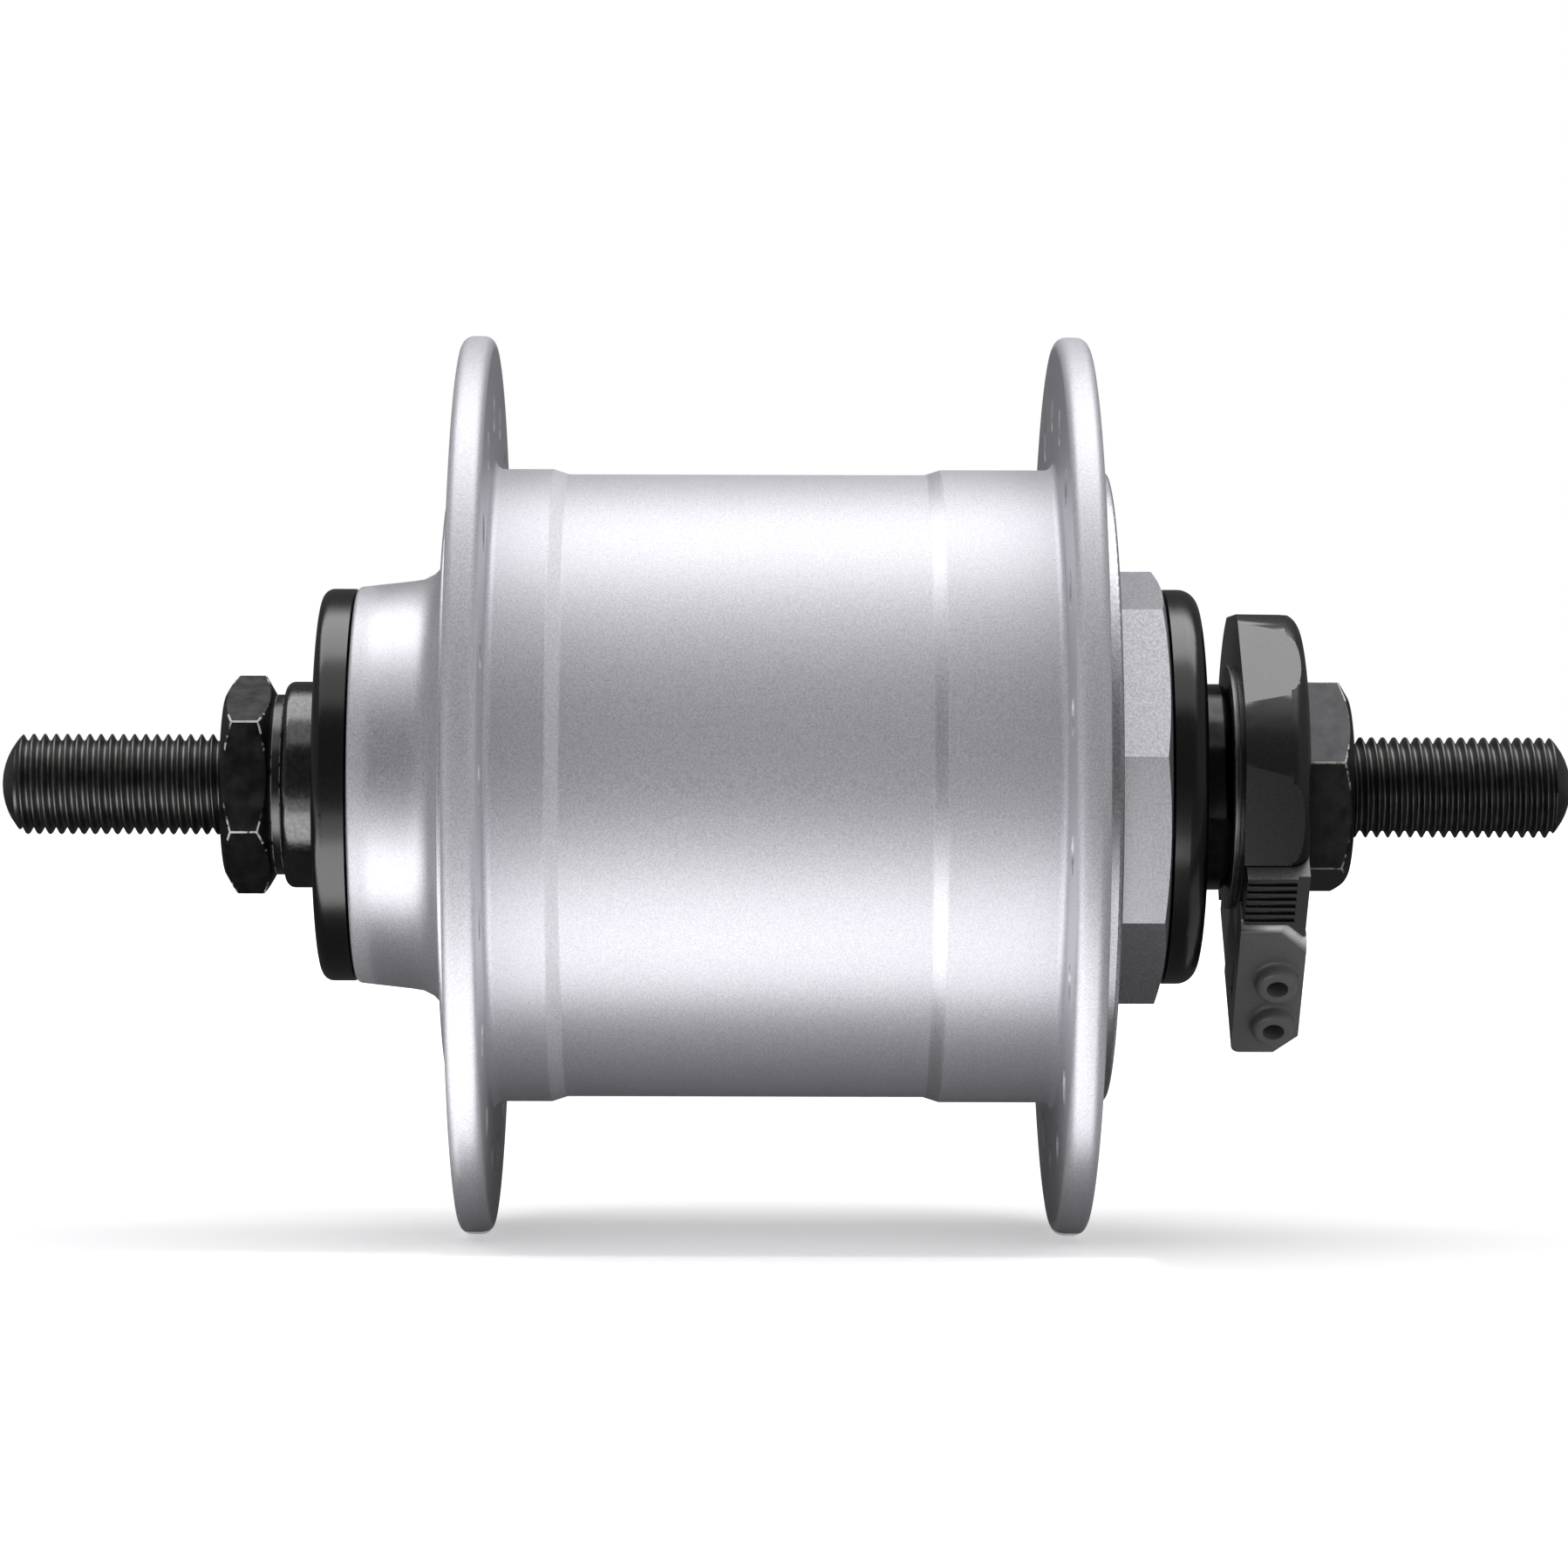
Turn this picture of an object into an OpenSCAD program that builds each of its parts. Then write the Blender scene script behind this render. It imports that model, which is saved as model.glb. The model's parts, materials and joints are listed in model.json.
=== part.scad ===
// Front hub dynamo with a solid nutted axle and a claw-pole generator inside.
// The axle lies along Y with its middle at the origin and +Z is up.
// The electrical connector is on the -Y side. All lengths are in millimetres.

/* [Axle] */
// Diameter over the axle's threaded ends
axle_d = 9; // [8.6:0.1:9.4]
// Length of the axle
axle_length = 140; // [136:0.5:146]
// Distance over the outer faces of the two locknuts, the fork's inner width
over_locknuts = 100; // [99:0.5:104]
// Radius of the domed axle ends
axle_dome_r = 6.3; // [5.5:0.1:8]
// Diameter of the thicker middle that carries the stator
core_d = 10; // [9.6:0.1:10.6]
// Diameter of the collar that the stator is clamped against
collar_d = 13; // [12:0.5:15]
// Thickness of that collar
collar_t = 2.5; // [2:0.1:3]
// Width of the groove in the axle for the lead wire
groove_w = 1.8; // [1.6:0.1:2]
// Diameter of the insulated lead wire
wire_d = 1.2; // [1:0.1:1.4]

/* [Locknuts] */
// Width across the flats of the locknuts
nut_af = 17; // [16:0.5:18]
// Thickness of the locknuts
nut_t = 4.5; // [4:0.1:5]
// Diameter to which the corners of the locknuts are turned
nut_corner_d = 19.1; // [18.5:0.1:20]
// Diameter of the flat end face inside a locknut's chamfer
nut_face_d = 16; // [15:0.1:16.5]
// Diameter of the spacer behind the left locknut
spacer_d = 16.1; // [15:0.1:17]
// Thickness of that spacer
spacer_t = 0.9; // [0.6:0.1:1.2]

/* [Bearings] */
// Diameter of a bearing ball
ball_d = 4.7625; // [4.5:0.0125:4.8]
// Number of balls in each bearing
ball_count = 10; // [8:1:10]
// Diameter of the circle through the ball centres
ball_circle_d = 17.5; // [17.2:0.1:18]
// Running clearance between a ball and each race
race_gap = 0.07; // [0.03:0.01:0.1]
// Outside diameter of a bearing cup
cup_d = 26; // [25.6:0.1:26.4]
// Distance from the ball circle to the cup's mouth
cup_mouth = 3.2; // [3:0.1:3.6]
// Distance from the ball circle to the cup's closed side
cup_floor = 3.8; // [3.4:0.1:4]
// Outside diameter of a cone's collar
cone_d = 18.4; // [18.2:0.1:18.8]
// Width across the wrench flats of a cone
cone_af = 17; // [16.5:0.1:17.5]
// Length of the left cone that shows outside its seal
left_cone_show = 3.3; // [3:0.1:4]
// Length of the right cone that shows outside its seal
right_cone_show = 2.7; // [2.5:0.1:3.2]

/* [Seals] */
// Diameter of the left rubber seal
left_seal_d = 35; // [34:0.1:36]
// Thickness of the left rubber seal
left_seal_t = 2.9; // [2.6:0.1:3.2]
// Diameter of the right rubber seal
right_seal_d = 35.2; // [34:0.1:35.6]
// Thickness of the right rubber seal
right_seal_t = 3; // [2.7:0.1:3.2]
// Gap between a seal and the turning face beside it
seal_gap = 0.2; // [0.2:0.05:0.4]
// Distance from the ball circle to the end face of the nose or the end cap
ball_depth = 5.2; // [5:0.1:5.6]

/* [Hub shell] */
// Diameter of the spoke flanges
flange_d = 80; // [78:0.5:82]
// Thickness of a spoke flange
flange_t = 2.9; // [2.6:0.1:3.2]
// Distance between the middles of the two flanges
flange_spacing = 52.5; // [51.5:0.1:53.5]
// Station of the left flange's middle, measured from the middle of the axle
flange_left = -27.4; // [-28:0.1:-27]
// Radius of the flange's rounded rim
rim_round = 1; // [0.6:0.1:1.2]
// Number of spoke holes in a flange
hole_count = 18; // [14:1:18]
// Diameter of a spoke hole
hole_d = 2.6; // [2.4:0.1:2.8]
// Diameter of the countersink on both sides of a spoke hole
sink_d = 3.4; // [3:0.1:3.8]
// Diameter of the circle of spoke holes
hole_circle_d = 66.6; // [65:0.2:70]
// Diameter of the barrel between its two bevels
barrel_d = 55.5; // [55:0.1:56]
// Height of the raised bands beside the flanges over the barrel
band_rise = 0.45; // [0.35:0.05:0.7]
// Station where the left band's bevel starts
left_bevel = -20.8; // [-22:0.1:-20]
// Station where the right band's bevel starts
right_bevel = 13.6; // [12:0.1:16]
// Length of a bevel
bevel_length = 1.4; // [1:0.1:2]
// Fillet between a flange and the band beside it
flange_fillet = 0.8; // [0.4:0.1:1.2]
// Diameter of the raised boss outside the left flange
boss_d = 53; // [50:0.5:54]
// Height of that boss over the flange
boss_rise = 1.15; // [0.8:0.05:1.4]
// Diameter of the left nose at its root
nose_root_d = 36.4; // [36:0.1:37]
// Diameter of the left nose at its tip
nose_tip_d = 35.3; // [34.5:0.1:35.8]
// Fillet between the nose and the boss
nose_fillet = 3.3; // [2.5:0.1:4]
// Wall of the barrel around the magnet ring
barrel_wall = 1.85; // [1.75:0.05:1.95]
// Station of the shoulder that the magnet ring is pushed against
bore_shoulder = -19; // [-20:0.1:-18.6]
// Thickness of the shell's closed end
web_t = 3.4; // [3:0.1:3.8]

/* [End cap] */
// Diameter of the end cap's round flange
cap_flange_d = 56.2; // [55.5:0.1:57]
// Thickness of that flange
cap_flange_t = 1.8; // [1.5:0.1:2.2]
// Width across the flats of the octagon for the tool
octagon_af = 36; // [35.5:0.1:37]
// Diameter of the octagon's end face inside its chamfer
octagon_face_d = 34.6; // [33:0.1:35]
// Length of the octagon's chamfer along the axle
octagon_chamfer = 0.6; // [0.4:0.1:1]
// Length of the threaded spigot inside the shell
spigot_length = 7.5; // [6.5:0.1:8.5]
// Wall of the threaded spigot
spigot_wall = 2.25; // [2:0.05:2.6]
// Diameter of the O-ring's section
o_ring_d = 1; // [0.8:0.1:1.2]

/* [Generator] */
// Number of claws on each pole ring
claw_count = 14; // [12:1:14]
// Gap between the turning magnets and the claws
air_gap = 0.35; // [0.3:0.01:0.5]
// Radial thickness of the magnets
magnet_t = 2.7; // [2.4:0.1:3]
// Radial thickness of the steel yoke ring
yoke_t = 1.2; // [1:0.1:1.4]
// Length of the yoke ring
yoke_length = 30; // [28.5:0.5:31]
// Length of the magnets
magnet_length = 28; // [26:0.5:28]
// Slit between two magnet segments
magnet_slit = 0.4; // [0.3:0.1:0.8]
// Length over the two pole rings
stator_length = 26; // [24:0.5:27]
// Thickness of a pole ring's plate
plate_t = 2.5; // [2:0.1:3]
// Radial thickness of a claw
claw_t = 2.2; // [1.8:0.1:2.4]
// Width of a claw at its root
claw_root_w = 3.4; // [3:0.1:3.6]
// Width of a claw at its tip
claw_tip_w = 2.2; // [1.8:0.1:2.6]
// Length by which a claw stays short of the far pole ring's outer face
claw_short = 1; // [0.6:0.1:1.6]
// Outside diameter of the stator's steel core
stator_core_d = 16.2; // [15:0.1:17]
// Wall of the coil bobbin
bobbin_wall = 1; // [0.8:0.1:1.2]
// Distance by which the winding stays below the bobbin's rims
winding_depth = 1.1; // [0.6:0.1:2]
// Width across the flats of the stator nut
stator_nut_af = 16; // [15:0.5:17]
// Thickness of the stator nut
stator_nut_t = 3; // [2.5:0.1:3.5]
// Thickness of the washer under the stator nut
stator_washer_t = 0.6; // [0.4:0.1:1]

/* [Connector] */
// Thickness of the plate between the right cone and the connector
plate_washer_t = 0.5; // [0.4:0.1:0.6]
// Diameter of that plate
plate_washer_d = 21.8; // [20:0.1:23]
// Thickness of the connector housing along the axle
housing_t = 5.8; // [5.4:0.1:6.2]
// Radius of the connector housing at its round back
housing_r = 16; // [15.8:0.1:16.6]
// Radius of the rounding at the housing's outer end
housing_round = 1.7; // [1.2:0.1:2]
// Distance of the top flat from the axle's axis
top_flat = 15.3; // [14.8:0.1:15.7]
// Distance of the two front flats from the axle's axis
front_flat = 15.15; // [14.8:0.05:15.7]
// Angle of the upper front flat about the axle
upper_flat_angle = 134; // [128:1:140]
// Angle of the lower front flat about the axle
lower_flat_angle = 192; // [188:1:196]
// Angle of the plug's face about the axle
plug_angle = 223.5; // [221:0.5:226]
// Distance of the plug's face from the axle's axis
plug_face = 16.5; // [16.3:0.1:17]
// Distance from the axle's axis to the end of the plug
plug_end = 17; // [16.6:0.1:17.6]
// Distance from the axle's axis to the near side of the plug's main block
plug_near = 6.2; // [6.2:0.1:6.6]
// How far the plug's block reaches behind the axle's axis
plug_back = 1.6; // [1:0.1:2]
// Thickness of the ribbed grip over the housing
grip_t = 3.1; // [2.8:0.1:3.4]
// Distance by which the grip reaches past the axle's axis
grip_reach = 4.6; // [4:0.1:5]
// Number of ribs on the grip
rib_count = 7; // [5:1:8]
// Height of a rib
rib_h = 0.35; // [0.2:0.05:0.5]
// Clearance between the plug and the housing and between its cap and its body
slide_gap = 0.1; // [0.08:0.01:0.15]

/* [Plug cap] */
// Wall of the plug's cap at its sides
cap_wall = 0.9; // [0.8:0.1:1]
// Wall of the plug's cap at its face
cap_face_t = 1.4; // [1.2:0.1:1.6]
// Depth of the cap's skirt on the hub's side
hub_skirt = 9.5; // [9:0.1:9.8]
// Depth of the cap's skirt on the nut's side
nut_skirt = 6.3; // [5.8:0.1:6.5]
// Distance from the axle's axis to the cap's upper edge
cap_top = 1.1; // [1:0.1:1.4]
// Length of the chamfers along the plug's face
cap_chamfer = 2.1; // [1.6:0.1:2.4]
// Outside diameter of a wire inlet
inlet_d = 3.8; // [3.4:0.1:4]
// Bore of a wire inlet
inlet_bore = 1.9; // [1.6:0.1:2]
// Height of a wire inlet
inlet_h = 1.3; // [1:0.1:1.6]
// Distance from the axle's axis to the first wire inlet
inlet_at = 7.7; // [7.6:0.1:8]
// Distance between the two wire inlets
inlet_pitch = 5.4; // [5.2:0.1:5.6]

/* [Terminals] */
// Thickness of a terminal blade
blade_t = 0.8; // [0.6:0.1:1]
// Width of a terminal blade
blade_w = 2.4; // [2:0.1:2.6]
// Length of a terminal blade outside the housing
blade_out = 5.3; // [4.5:0.1:5.5]
// Distance of the live blade's middle from the axle's axis
live_at = 10.5; // [10.2:0.1:10.6]
// Distance of the ground blade's middle from the axle's axis
ground_at = 3; // [2.6:0.1:3.2]
// Thickness of a spring clip's sheet
clip_t = 0.3; // [0.2:0.05:0.35]

/* [Hidden] */
$fn = 96;

// Threads inside nuts and cones are drawn as cylinders at the pitch diameter
thread_pitch = 1;

// Small fits: threads, pushed-in rings and running-out of cutting shapes
thread_gap = 0.05;
press_gap = 0.02;
cut_over = 1;

// Break of a turned part's sharp edge
edge_break = 0.4;

// Radii
axle_r = axle_d / 2;
engaged_r = axle_r - 0.65 * thread_pitch / 2;
axle_bore_r = engaged_r + thread_gap;
mouth_r = axle_r + 0.3;
core_r = core_d / 2;
ball_r = ball_d / 2;
pitch_r = ball_circle_d / 2;
race_r = ball_r + race_gap;
cup_r = cup_d / 2;
cone_r = cone_d / 2;
barrel_r = barrel_d / 2;
band_r = barrel_r + band_rise;
bore_r = barrel_r - barrel_wall;
yoke_r = bore_r - press_gap;
magnet_r = yoke_r - yoke_t - press_gap;
claw_r = magnet_r - magnet_t - air_gap;
spigot_r = bore_r - thread_gap;
passage_r = pitch_r + 1.25;

// Stations along the axle, from the left end to the right end
left_nut_out = -over_locknuts / 2;
left_nut_in = left_nut_out + nut_t;
left_cone_out = left_nut_in + spacer_t;
left_seal_out = left_cone_out + left_cone_show;
nose_end = left_seal_out + left_seal_t + seal_gap;
left_ball = nose_end + ball_depth;
right_nut_out = over_locknuts / 2;
housing_out = right_nut_out - nut_t;
housing_in = housing_out - housing_t;
right_cone_out = housing_in - plate_washer_t;
right_seal_out = right_cone_out - right_cone_show;
cap_end = right_seal_out - right_seal_t - seal_gap;
right_ball = cap_end - ball_depth;
left_outer = flange_left - flange_t / 2;
left_inner = flange_left + flange_t / 2;
right_inner = flange_left + flange_spacing - flange_t / 2;
right_outer = right_inner + flange_t;
boss_face = left_outer - boss_rise;
web_in = boss_face + web_t;
cap_flange_out = right_outer + cap_flange_t;
o_ring_at = right_outer - 1.5;

// The generator is centred on the yoke ring
yoke_end = bore_shoulder + yoke_length;
stator_mid = (bore_shoulder + yoke_end) / 2;
stator_left = stator_mid - stator_length / 2;
stator_right = stator_mid + stator_length / 2;
coil_left = stator_left + plate_t;
coil_right = stator_right - plate_t;
pole_disc_r = claw_r - claw_t - 0.6;
bobbin_r = pole_disc_r - 0.2;
coil_r = bobbin_r - winding_depth;
bobbin_hub_r = stator_core_d / 2 + press_gap + bobbin_wall;
stator_washer_in = stator_left - stator_washer_t;
stator_nut_in = stator_washer_in - stator_nut_t;

// Angle of the first spoke hole: the two flanges are half a pitch apart
left_hole_turn = 180;
right_hole_turn = left_hole_turn - 180 / hole_count;

// Turn of each hexagon, octagon and pair of flats about the axle
left_nut_turn = 205.5;
right_nut_turn = 167.8;
octagon_turn = 82.4;
left_cone_turn = 244;
right_cone_turn = 220;

// The plug's own frame: X away from the axle through its face, Y along its pull
terminal_depth = 3.5;
terminal_at = housing_in + terminal_depth;
housing_face = plug_near - slide_gap;
live_root = -1.5;
ground_root = 2;
clip_gap = 0.1;
clip_end = housing_face + blade_out + 0.4 + clip_t;
grip_base = plug_face - grip_t;
plug_side_in = housing_in + 0.2;
plug_side_out = housing_out - 0.1;
cap_side_in = housing_in;
cap_side_out = housing_out + 0.1;
core_face = plug_face - cap_face_t - slide_gap;

// The lead wire leaves the coil at the live blade's height, bends at a station
// behind the collar and lies in the axle's groove, sunk under the axle's surface
lead_out = live_at;
lead_bend = stator_right + collar_t + 1.4;
wire_sink = 0.25;
wire_seat = engaged_r - wire_d - wire_sink;

// Lays what is modelled along Z down on the row's Y axis
module laid() {
  rotate([90, 0, 0]) children();
}

// Puts a bearing part, modelled with its outward side up, at a ball circle
module facing(station, side) {
  translate([0, 0, station]) {
    if (side < 0) mirror([0, 0, 1]) children();
    if (side > 0) children();
  }
}

// Rectangle in the plane of radius and station
module span(r_in, r_out, from, to) {
  translate([r_in, from]) square([r_out - r_in, to - from]);
}

// Material to take off a profile's outer corner; up is 1 where it ends upwards
module corner(r, at, size, up) {
  translate([r - size, at - up * size]) difference() {
    translate([0, up > 0 ? 0 : -2 * size]) square(2 * size);
    circle(size);
  }
}

// Material that fills an inner corner; up is 1 where the wall is above it
module fillet(r, at, size, up) {
  translate([r, at - (up > 0 ? size : 0)]) difference() {
    square(size);
    translate([size, up > 0 ? 0 : size]) circle(size);
  }
}

module ring(r_in, r_out, from, to) {
  rotate_extrude() span(r_in, r_out, from, to);
}

// Prism with flats, such as a nut's body
module prism(across_flats, sides, from, to, turn) {
  rotate([0, 0, turn]) translate([0, 0, from])
    cylinder(h = to - from, r = across_flats / 2 / cos(180 / sides), $fn = sides);
}

module bore(r, from, to) {
  translate([0, 0, from - cut_over]) cylinder(h = to - from + 2 * cut_over, r = r);
}

// Box in the plug's frame, given by its limits outward, along the pull and along the axle
module block(n0, n1, t0, t1, a0, a1) {
  translate([n0, t0, a0]) cube([n1 - n0, t1 - t0, a1 - a0]);
}

module plug_frame() {
  rotate([0, 0, plug_angle]) children();
}

// Outline drawn along the pull and the axle, raised outward
module raised(n0, n1) {
  translate([n0, 0, 0]) rotate([90, 0, 90]) linear_extrude(n1 - n0) children();
}

module axle() {
  thread_lead = 1;
  groove_start = lead_bend - groove_w / 2;
  color("dimgray") laid() difference() {
    rotate_extrude() {
      intersection() {
        union() {
          span(0, axle_r, -axle_length / 2, left_nut_out);
          span(0, engaged_r, left_nut_out, right_nut_out);
          span(0, axle_r, right_nut_out, axle_length / 2);
        }
        union() {
          translate([0, axle_length / 2 - axle_dome_r]) circle(axle_dome_r);
          translate([0, axle_dome_r - axle_length / 2]) circle(axle_dome_r);
          span(0, axle_r, axle_dome_r - axle_length / 2, axle_length / 2 - axle_dome_r);
        }
      }
      span(0, core_r, stator_nut_in - thread_lead, stator_right);
      span(0, collar_d / 2, stator_right, stator_right + collar_t);
    }
    core_flats(0);
    plug_frame() block(wire_seat, core_r + cut_over, -groove_w / 2, groove_w / 2,
      groove_start, terminal_at + groove_w / 2);
  }
}

// Two flats on the axle's middle that keep the stator from turning
module core_flats(gap) {
  for (side = [0, 180]) rotate([0, 0, side])
    translate([axle_r + gap, -core_r, stator_left]) cube([core_r, core_d, stator_length]);
}

// Opening in a stator plate that fits the flatted middle of the axle
module core_opening(from, to) {
  difference() {
    bore(core_r + press_gap, from, to);
    core_flats(press_gap);
  }
}

module locknut(from, to, turn, low_chamfer, high_chamfer) {
  chamfer = (nut_corner_d - nut_face_d) / 2 * tan(30);
  difference() {
    intersection() {
      prism(nut_af, 6, from, to, turn);
      rotate_extrude() polygon([
        [0, from], [low_chamfer ? nut_face_d / 2 : nut_corner_d / 2, from],
        [nut_corner_d / 2, low_chamfer ? from + chamfer : from],
        [nut_corner_d / 2, high_chamfer ? to - chamfer : to],
        [high_chamfer ? nut_face_d / 2 : nut_corner_d / 2, to], [0, to]
      ]);
    }
    nut_thread(from, to);
  }
}

// A nut's thread, countersunk at both faces
module nut_thread(from, to) {
  sink = mouth_r - axle_bore_r;
  over_r = mouth_r + cut_over;
  rotate_extrude() polygon([
    [0, from - cut_over], [over_r, from - cut_over], [axle_bore_r, from + sink],
    [axle_bore_r, to - sink], [over_r, to + cut_over], [0, to + cut_over]
  ]);
}

module left_locknut() {
  color("dimgray") laid() locknut(left_nut_out, left_nut_in, left_nut_turn, true, true);
}

module right_locknut() {
  color("dimgray") laid() locknut(housing_out, right_nut_out, right_nut_turn, false, true);
}

module left_spacer() {
  color("gray") laid() ring(axle_bore_r, spacer_d / 2, left_nut_in, left_cone_out);
}

// A cone, with its race at the ball circle and its collar reaching outward
module cone(reach, shown, turn) {
  lip = 1.5;
  shoulder = 3.5;
  edge = 0.8;
  flat_start = reach - shown + 0.2;
  difference() {
    rotate_extrude() difference() {
      polygon([
        [axle_bore_r, -lip], [pitch_r - race_r, -lip], [pitch_r - race_r, 0],
        [pitch_r, 0], [pitch_r, shoulder], [cone_r, shoulder + cone_r - pitch_r],
        [cone_r, reach], [axle_bore_r, reach]
      ]);
      translate([pitch_r, 0]) circle(race_r);
      corner(cone_r, reach, edge, 1);
    }
    for (side = [0, 180]) rotate([0, 0, turn + side])
      translate([cone_af / 2, -cone_r, flat_start]) cube([cone_r, cone_d, shown]);
  }
}

module left_cone() {
  color("gray") laid() facing(left_ball, -1)
    cone(left_ball - left_cone_out, left_cone_show, left_cone_turn);
}

module right_cone() {
  color("gray") laid() facing(right_ball, 1)
    cone(right_cone_out - right_ball, right_cone_show, right_cone_turn);
}

module cup() {
  rotate_extrude() difference() {
    polygon([
      [pitch_r, -cup_floor], [cup_r, -cup_floor], [cup_r, cup_mouth],
      [pitch_r + race_r, cup_mouth], [pitch_r + race_r, 0], [pitch_r, 0]
    ]);
    translate([pitch_r, 0]) circle(race_r);
  }
}

module left_cup() {
  color("silver") laid() facing(left_ball, -1) cup();
}

module right_cup() {
  color("silver") laid() facing(right_ball, 1) cup();
}

module ball_set(r) {
  for (i = [0 : ball_count - 1]) rotate([0, 0, i * 360 / ball_count])
    translate([pitch_r, 0, 0]) sphere(r);
}

module left_balls() {
  color("lightgray") laid() facing(left_ball, -1) ball_set(ball_r);
}

module right_balls() {
  color("lightgray") laid() facing(right_ball, 1) ball_set(ball_r);
}

// Retainer: a ring outside the balls with a finger between each two of them
module ball_cage() {
  pocket_gap = 0.12;
  cage_in = pitch_r + 0.7;
  cage_out = pitch_r + race_r - 0.35;
  cage_top = 3.1;
  rim_h = 1.2;
  finger_w = 1;
  finger_tip = -0.6;
  finger_top = cage_top - rim_h + 0.2;
  difference() {
    union() {
      ring(cage_in, cage_out, cage_top - rim_h, cage_top);
      intersection() {
        ring(cage_in, cage_out, finger_tip, cage_top - rim_h / 2);
        for (i = [0 : ball_count - 1]) rotate([0, 0, (i + 0.5) * 360 / ball_count])
          translate([cage_in - cut_over, -finger_w / 2, finger_tip - cut_over])
            cube([cage_out - cage_in + 2 * cut_over, finger_w, finger_top - finger_tip + cut_over]);
      }
    }
    ball_set(ball_r + pocket_gap);
  }
}

module left_ball_cage() {
  color("goldenrod") laid() facing(left_ball, -1) ball_cage();
}

module right_ball_cage() {
  color("goldenrod") laid() facing(right_ball, 1) ball_cage();
}

// Rubber disc over the bearing, with a lip that reaches into the mouth
module seal(d, t, edge) {
  base = ball_depth + seal_gap;
  lip_r = cup_r - 0.5;
  lip_t = 1.2;
  lip_gap = 0.4;
  rotate_extrude() difference() {
    union() {
      span(cone_r + press_gap, d / 2, base, base + t);
      span(lip_r - lip_t, lip_r, cup_mouth + lip_gap, base + t / 2);
    }
    corner(d / 2, base + t, edge, 1);
  }
}

module left_seal() {
  edge = 1;
  color("black") laid() facing(left_ball, -1) seal(left_seal_d, left_seal_t, edge);
}

module right_seal() {
  edge = 1.7;
  color("black") laid() facing(right_ball, 1) seal(right_seal_d, right_seal_t, edge);
}

// Profile of a spoke flange with a rounded rim
module flange_profile(from, to) {
  difference() {
    span(bore_r, flange_d / 2, from, to);
    corner(flange_d / 2, from, rim_round, -1);
    corner(flange_d / 2, to, rim_round, 1);
  }
}

module shell_profile() {
  nose_root_r = nose_root_d / 2;
  nose_tip_r = nose_tip_d / 2;
  boss_r = boss_d / 2;
  ledge_r = bore_r - 2;
  union() {
    polygon([
      [cup_r + press_gap, nose_end], [nose_tip_r - edge_break, nose_end],
      [nose_tip_r, nose_end + edge_break], [nose_root_r, boss_face - nose_fillet],
      [nose_root_r, boss_face], [boss_r - edge_break, boss_face],
      [boss_r, boss_face + edge_break], [boss_r, left_inner], [ledge_r, left_inner],
      [ledge_r, web_in], [passage_r, web_in], [passage_r, left_ball + cup_floor],
      [cup_r + press_gap, left_ball + cup_floor]
    ]);
    fillet(nose_root_r, boss_face, nose_fillet, 1);
    flange_profile(left_outer, left_inner);
    flange_profile(right_inner, right_outer);
    polygon([
      [ledge_r, left_outer], [band_r, left_outer], [band_r, left_bevel],
      [barrel_r, left_bevel + bevel_length], [barrel_r, right_bevel - bevel_length],
      [band_r, right_bevel], [band_r, right_outer], [bore_r, right_outer],
      [bore_r, bore_shoulder], [ledge_r, bore_shoulder]
    ]);
    fillet(band_r, left_inner, flange_fillet, -1);
    fillet(band_r, right_inner, flange_fillet, 1);
  }
}

module spoke_holes(mid, turn) {
  half_t = flange_t / 2;
  depth = (sink_d - hole_d) / 2;
  for (i = [0 : hole_count - 1]) rotate([0, 0, turn + i * 360 / hole_count])
    translate([hole_circle_d / 2, 0, mid]) rotate_extrude() polygon([
      [0, -half_t - cut_over], [sink_d / 2 + cut_over, -half_t - cut_over],
      [hole_d / 2, depth - half_t], [hole_d / 2, half_t - depth],
      [sink_d / 2 + cut_over, half_t + cut_over], [0, half_t + cut_over]
    ]);
}

module hub_shell() {
  color("silver") laid() difference() {
    rotate_extrude() shell_profile();
    spoke_holes(flange_left, left_hole_turn);
    spoke_holes(flange_left + flange_spacing, right_hole_turn);
  }
}

// The cap screws into the shell's open end and carries the right cup
module end_cap() {
  cup_seat = right_ball - cup_floor;
  boss_in = cup_seat - 1.7;
  boss_wall = 3.4;
  web = 2.2;
  groove_half = o_ring_d / 2 + 0.1;
  root = cap_flange_out - cap_flange_t / 2;
  face_r = octagon_face_d / 2;
  corner_r = octagon_af / 2 / cos(22.5);
  over_r = corner_r + cut_over;
  slope = octagon_chamfer / (corner_r - face_r);
  color("lightgray") laid() difference() {
    union() {
      rotate_extrude() difference() {
        union() {
          span(spigot_r - spigot_wall, spigot_r, right_outer - spigot_length, cap_flange_out);
          span(cup_r, spigot_r, right_outer - web, cap_flange_out);
          span(0, cup_r + boss_wall, boss_in, cap_flange_out);
          span(cup_r, cap_flange_d / 2, right_outer, cap_flange_out);
        }
        corner(cap_flange_d / 2, cap_flange_out, edge_break, 1);
        span(bore_r - o_ring_d - press_gap, bore_r, o_ring_at - groove_half,
          o_ring_at + groove_half);
      }
      intersection() {
        prism(octagon_af, 8, root, cap_end, octagon_turn);
        rotate_extrude() polygon([
          [0, root], [over_r, root], [over_r, cap_end - slope * (over_r - face_r)],
          [face_r, cap_end], [0, cap_end]
        ]);
      }
    }
    translate([0, 0, cup_seat])
      cylinder(h = cup_floor + ball_depth + cut_over, r = cup_r + press_gap);
    bore(passage_r, boss_in, cup_seat);
  }
}

module end_cap_o_ring() {
  color("black") laid() rotate_extrude()
    translate([bore_r - (o_ring_d + press_gap) / 2, o_ring_at]) circle(o_ring_d / 2);
}

module magnet_yoke() {
  color("slategray") laid() ring(yoke_r - yoke_t, yoke_r, bore_shoulder, yoke_end);
}

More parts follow.
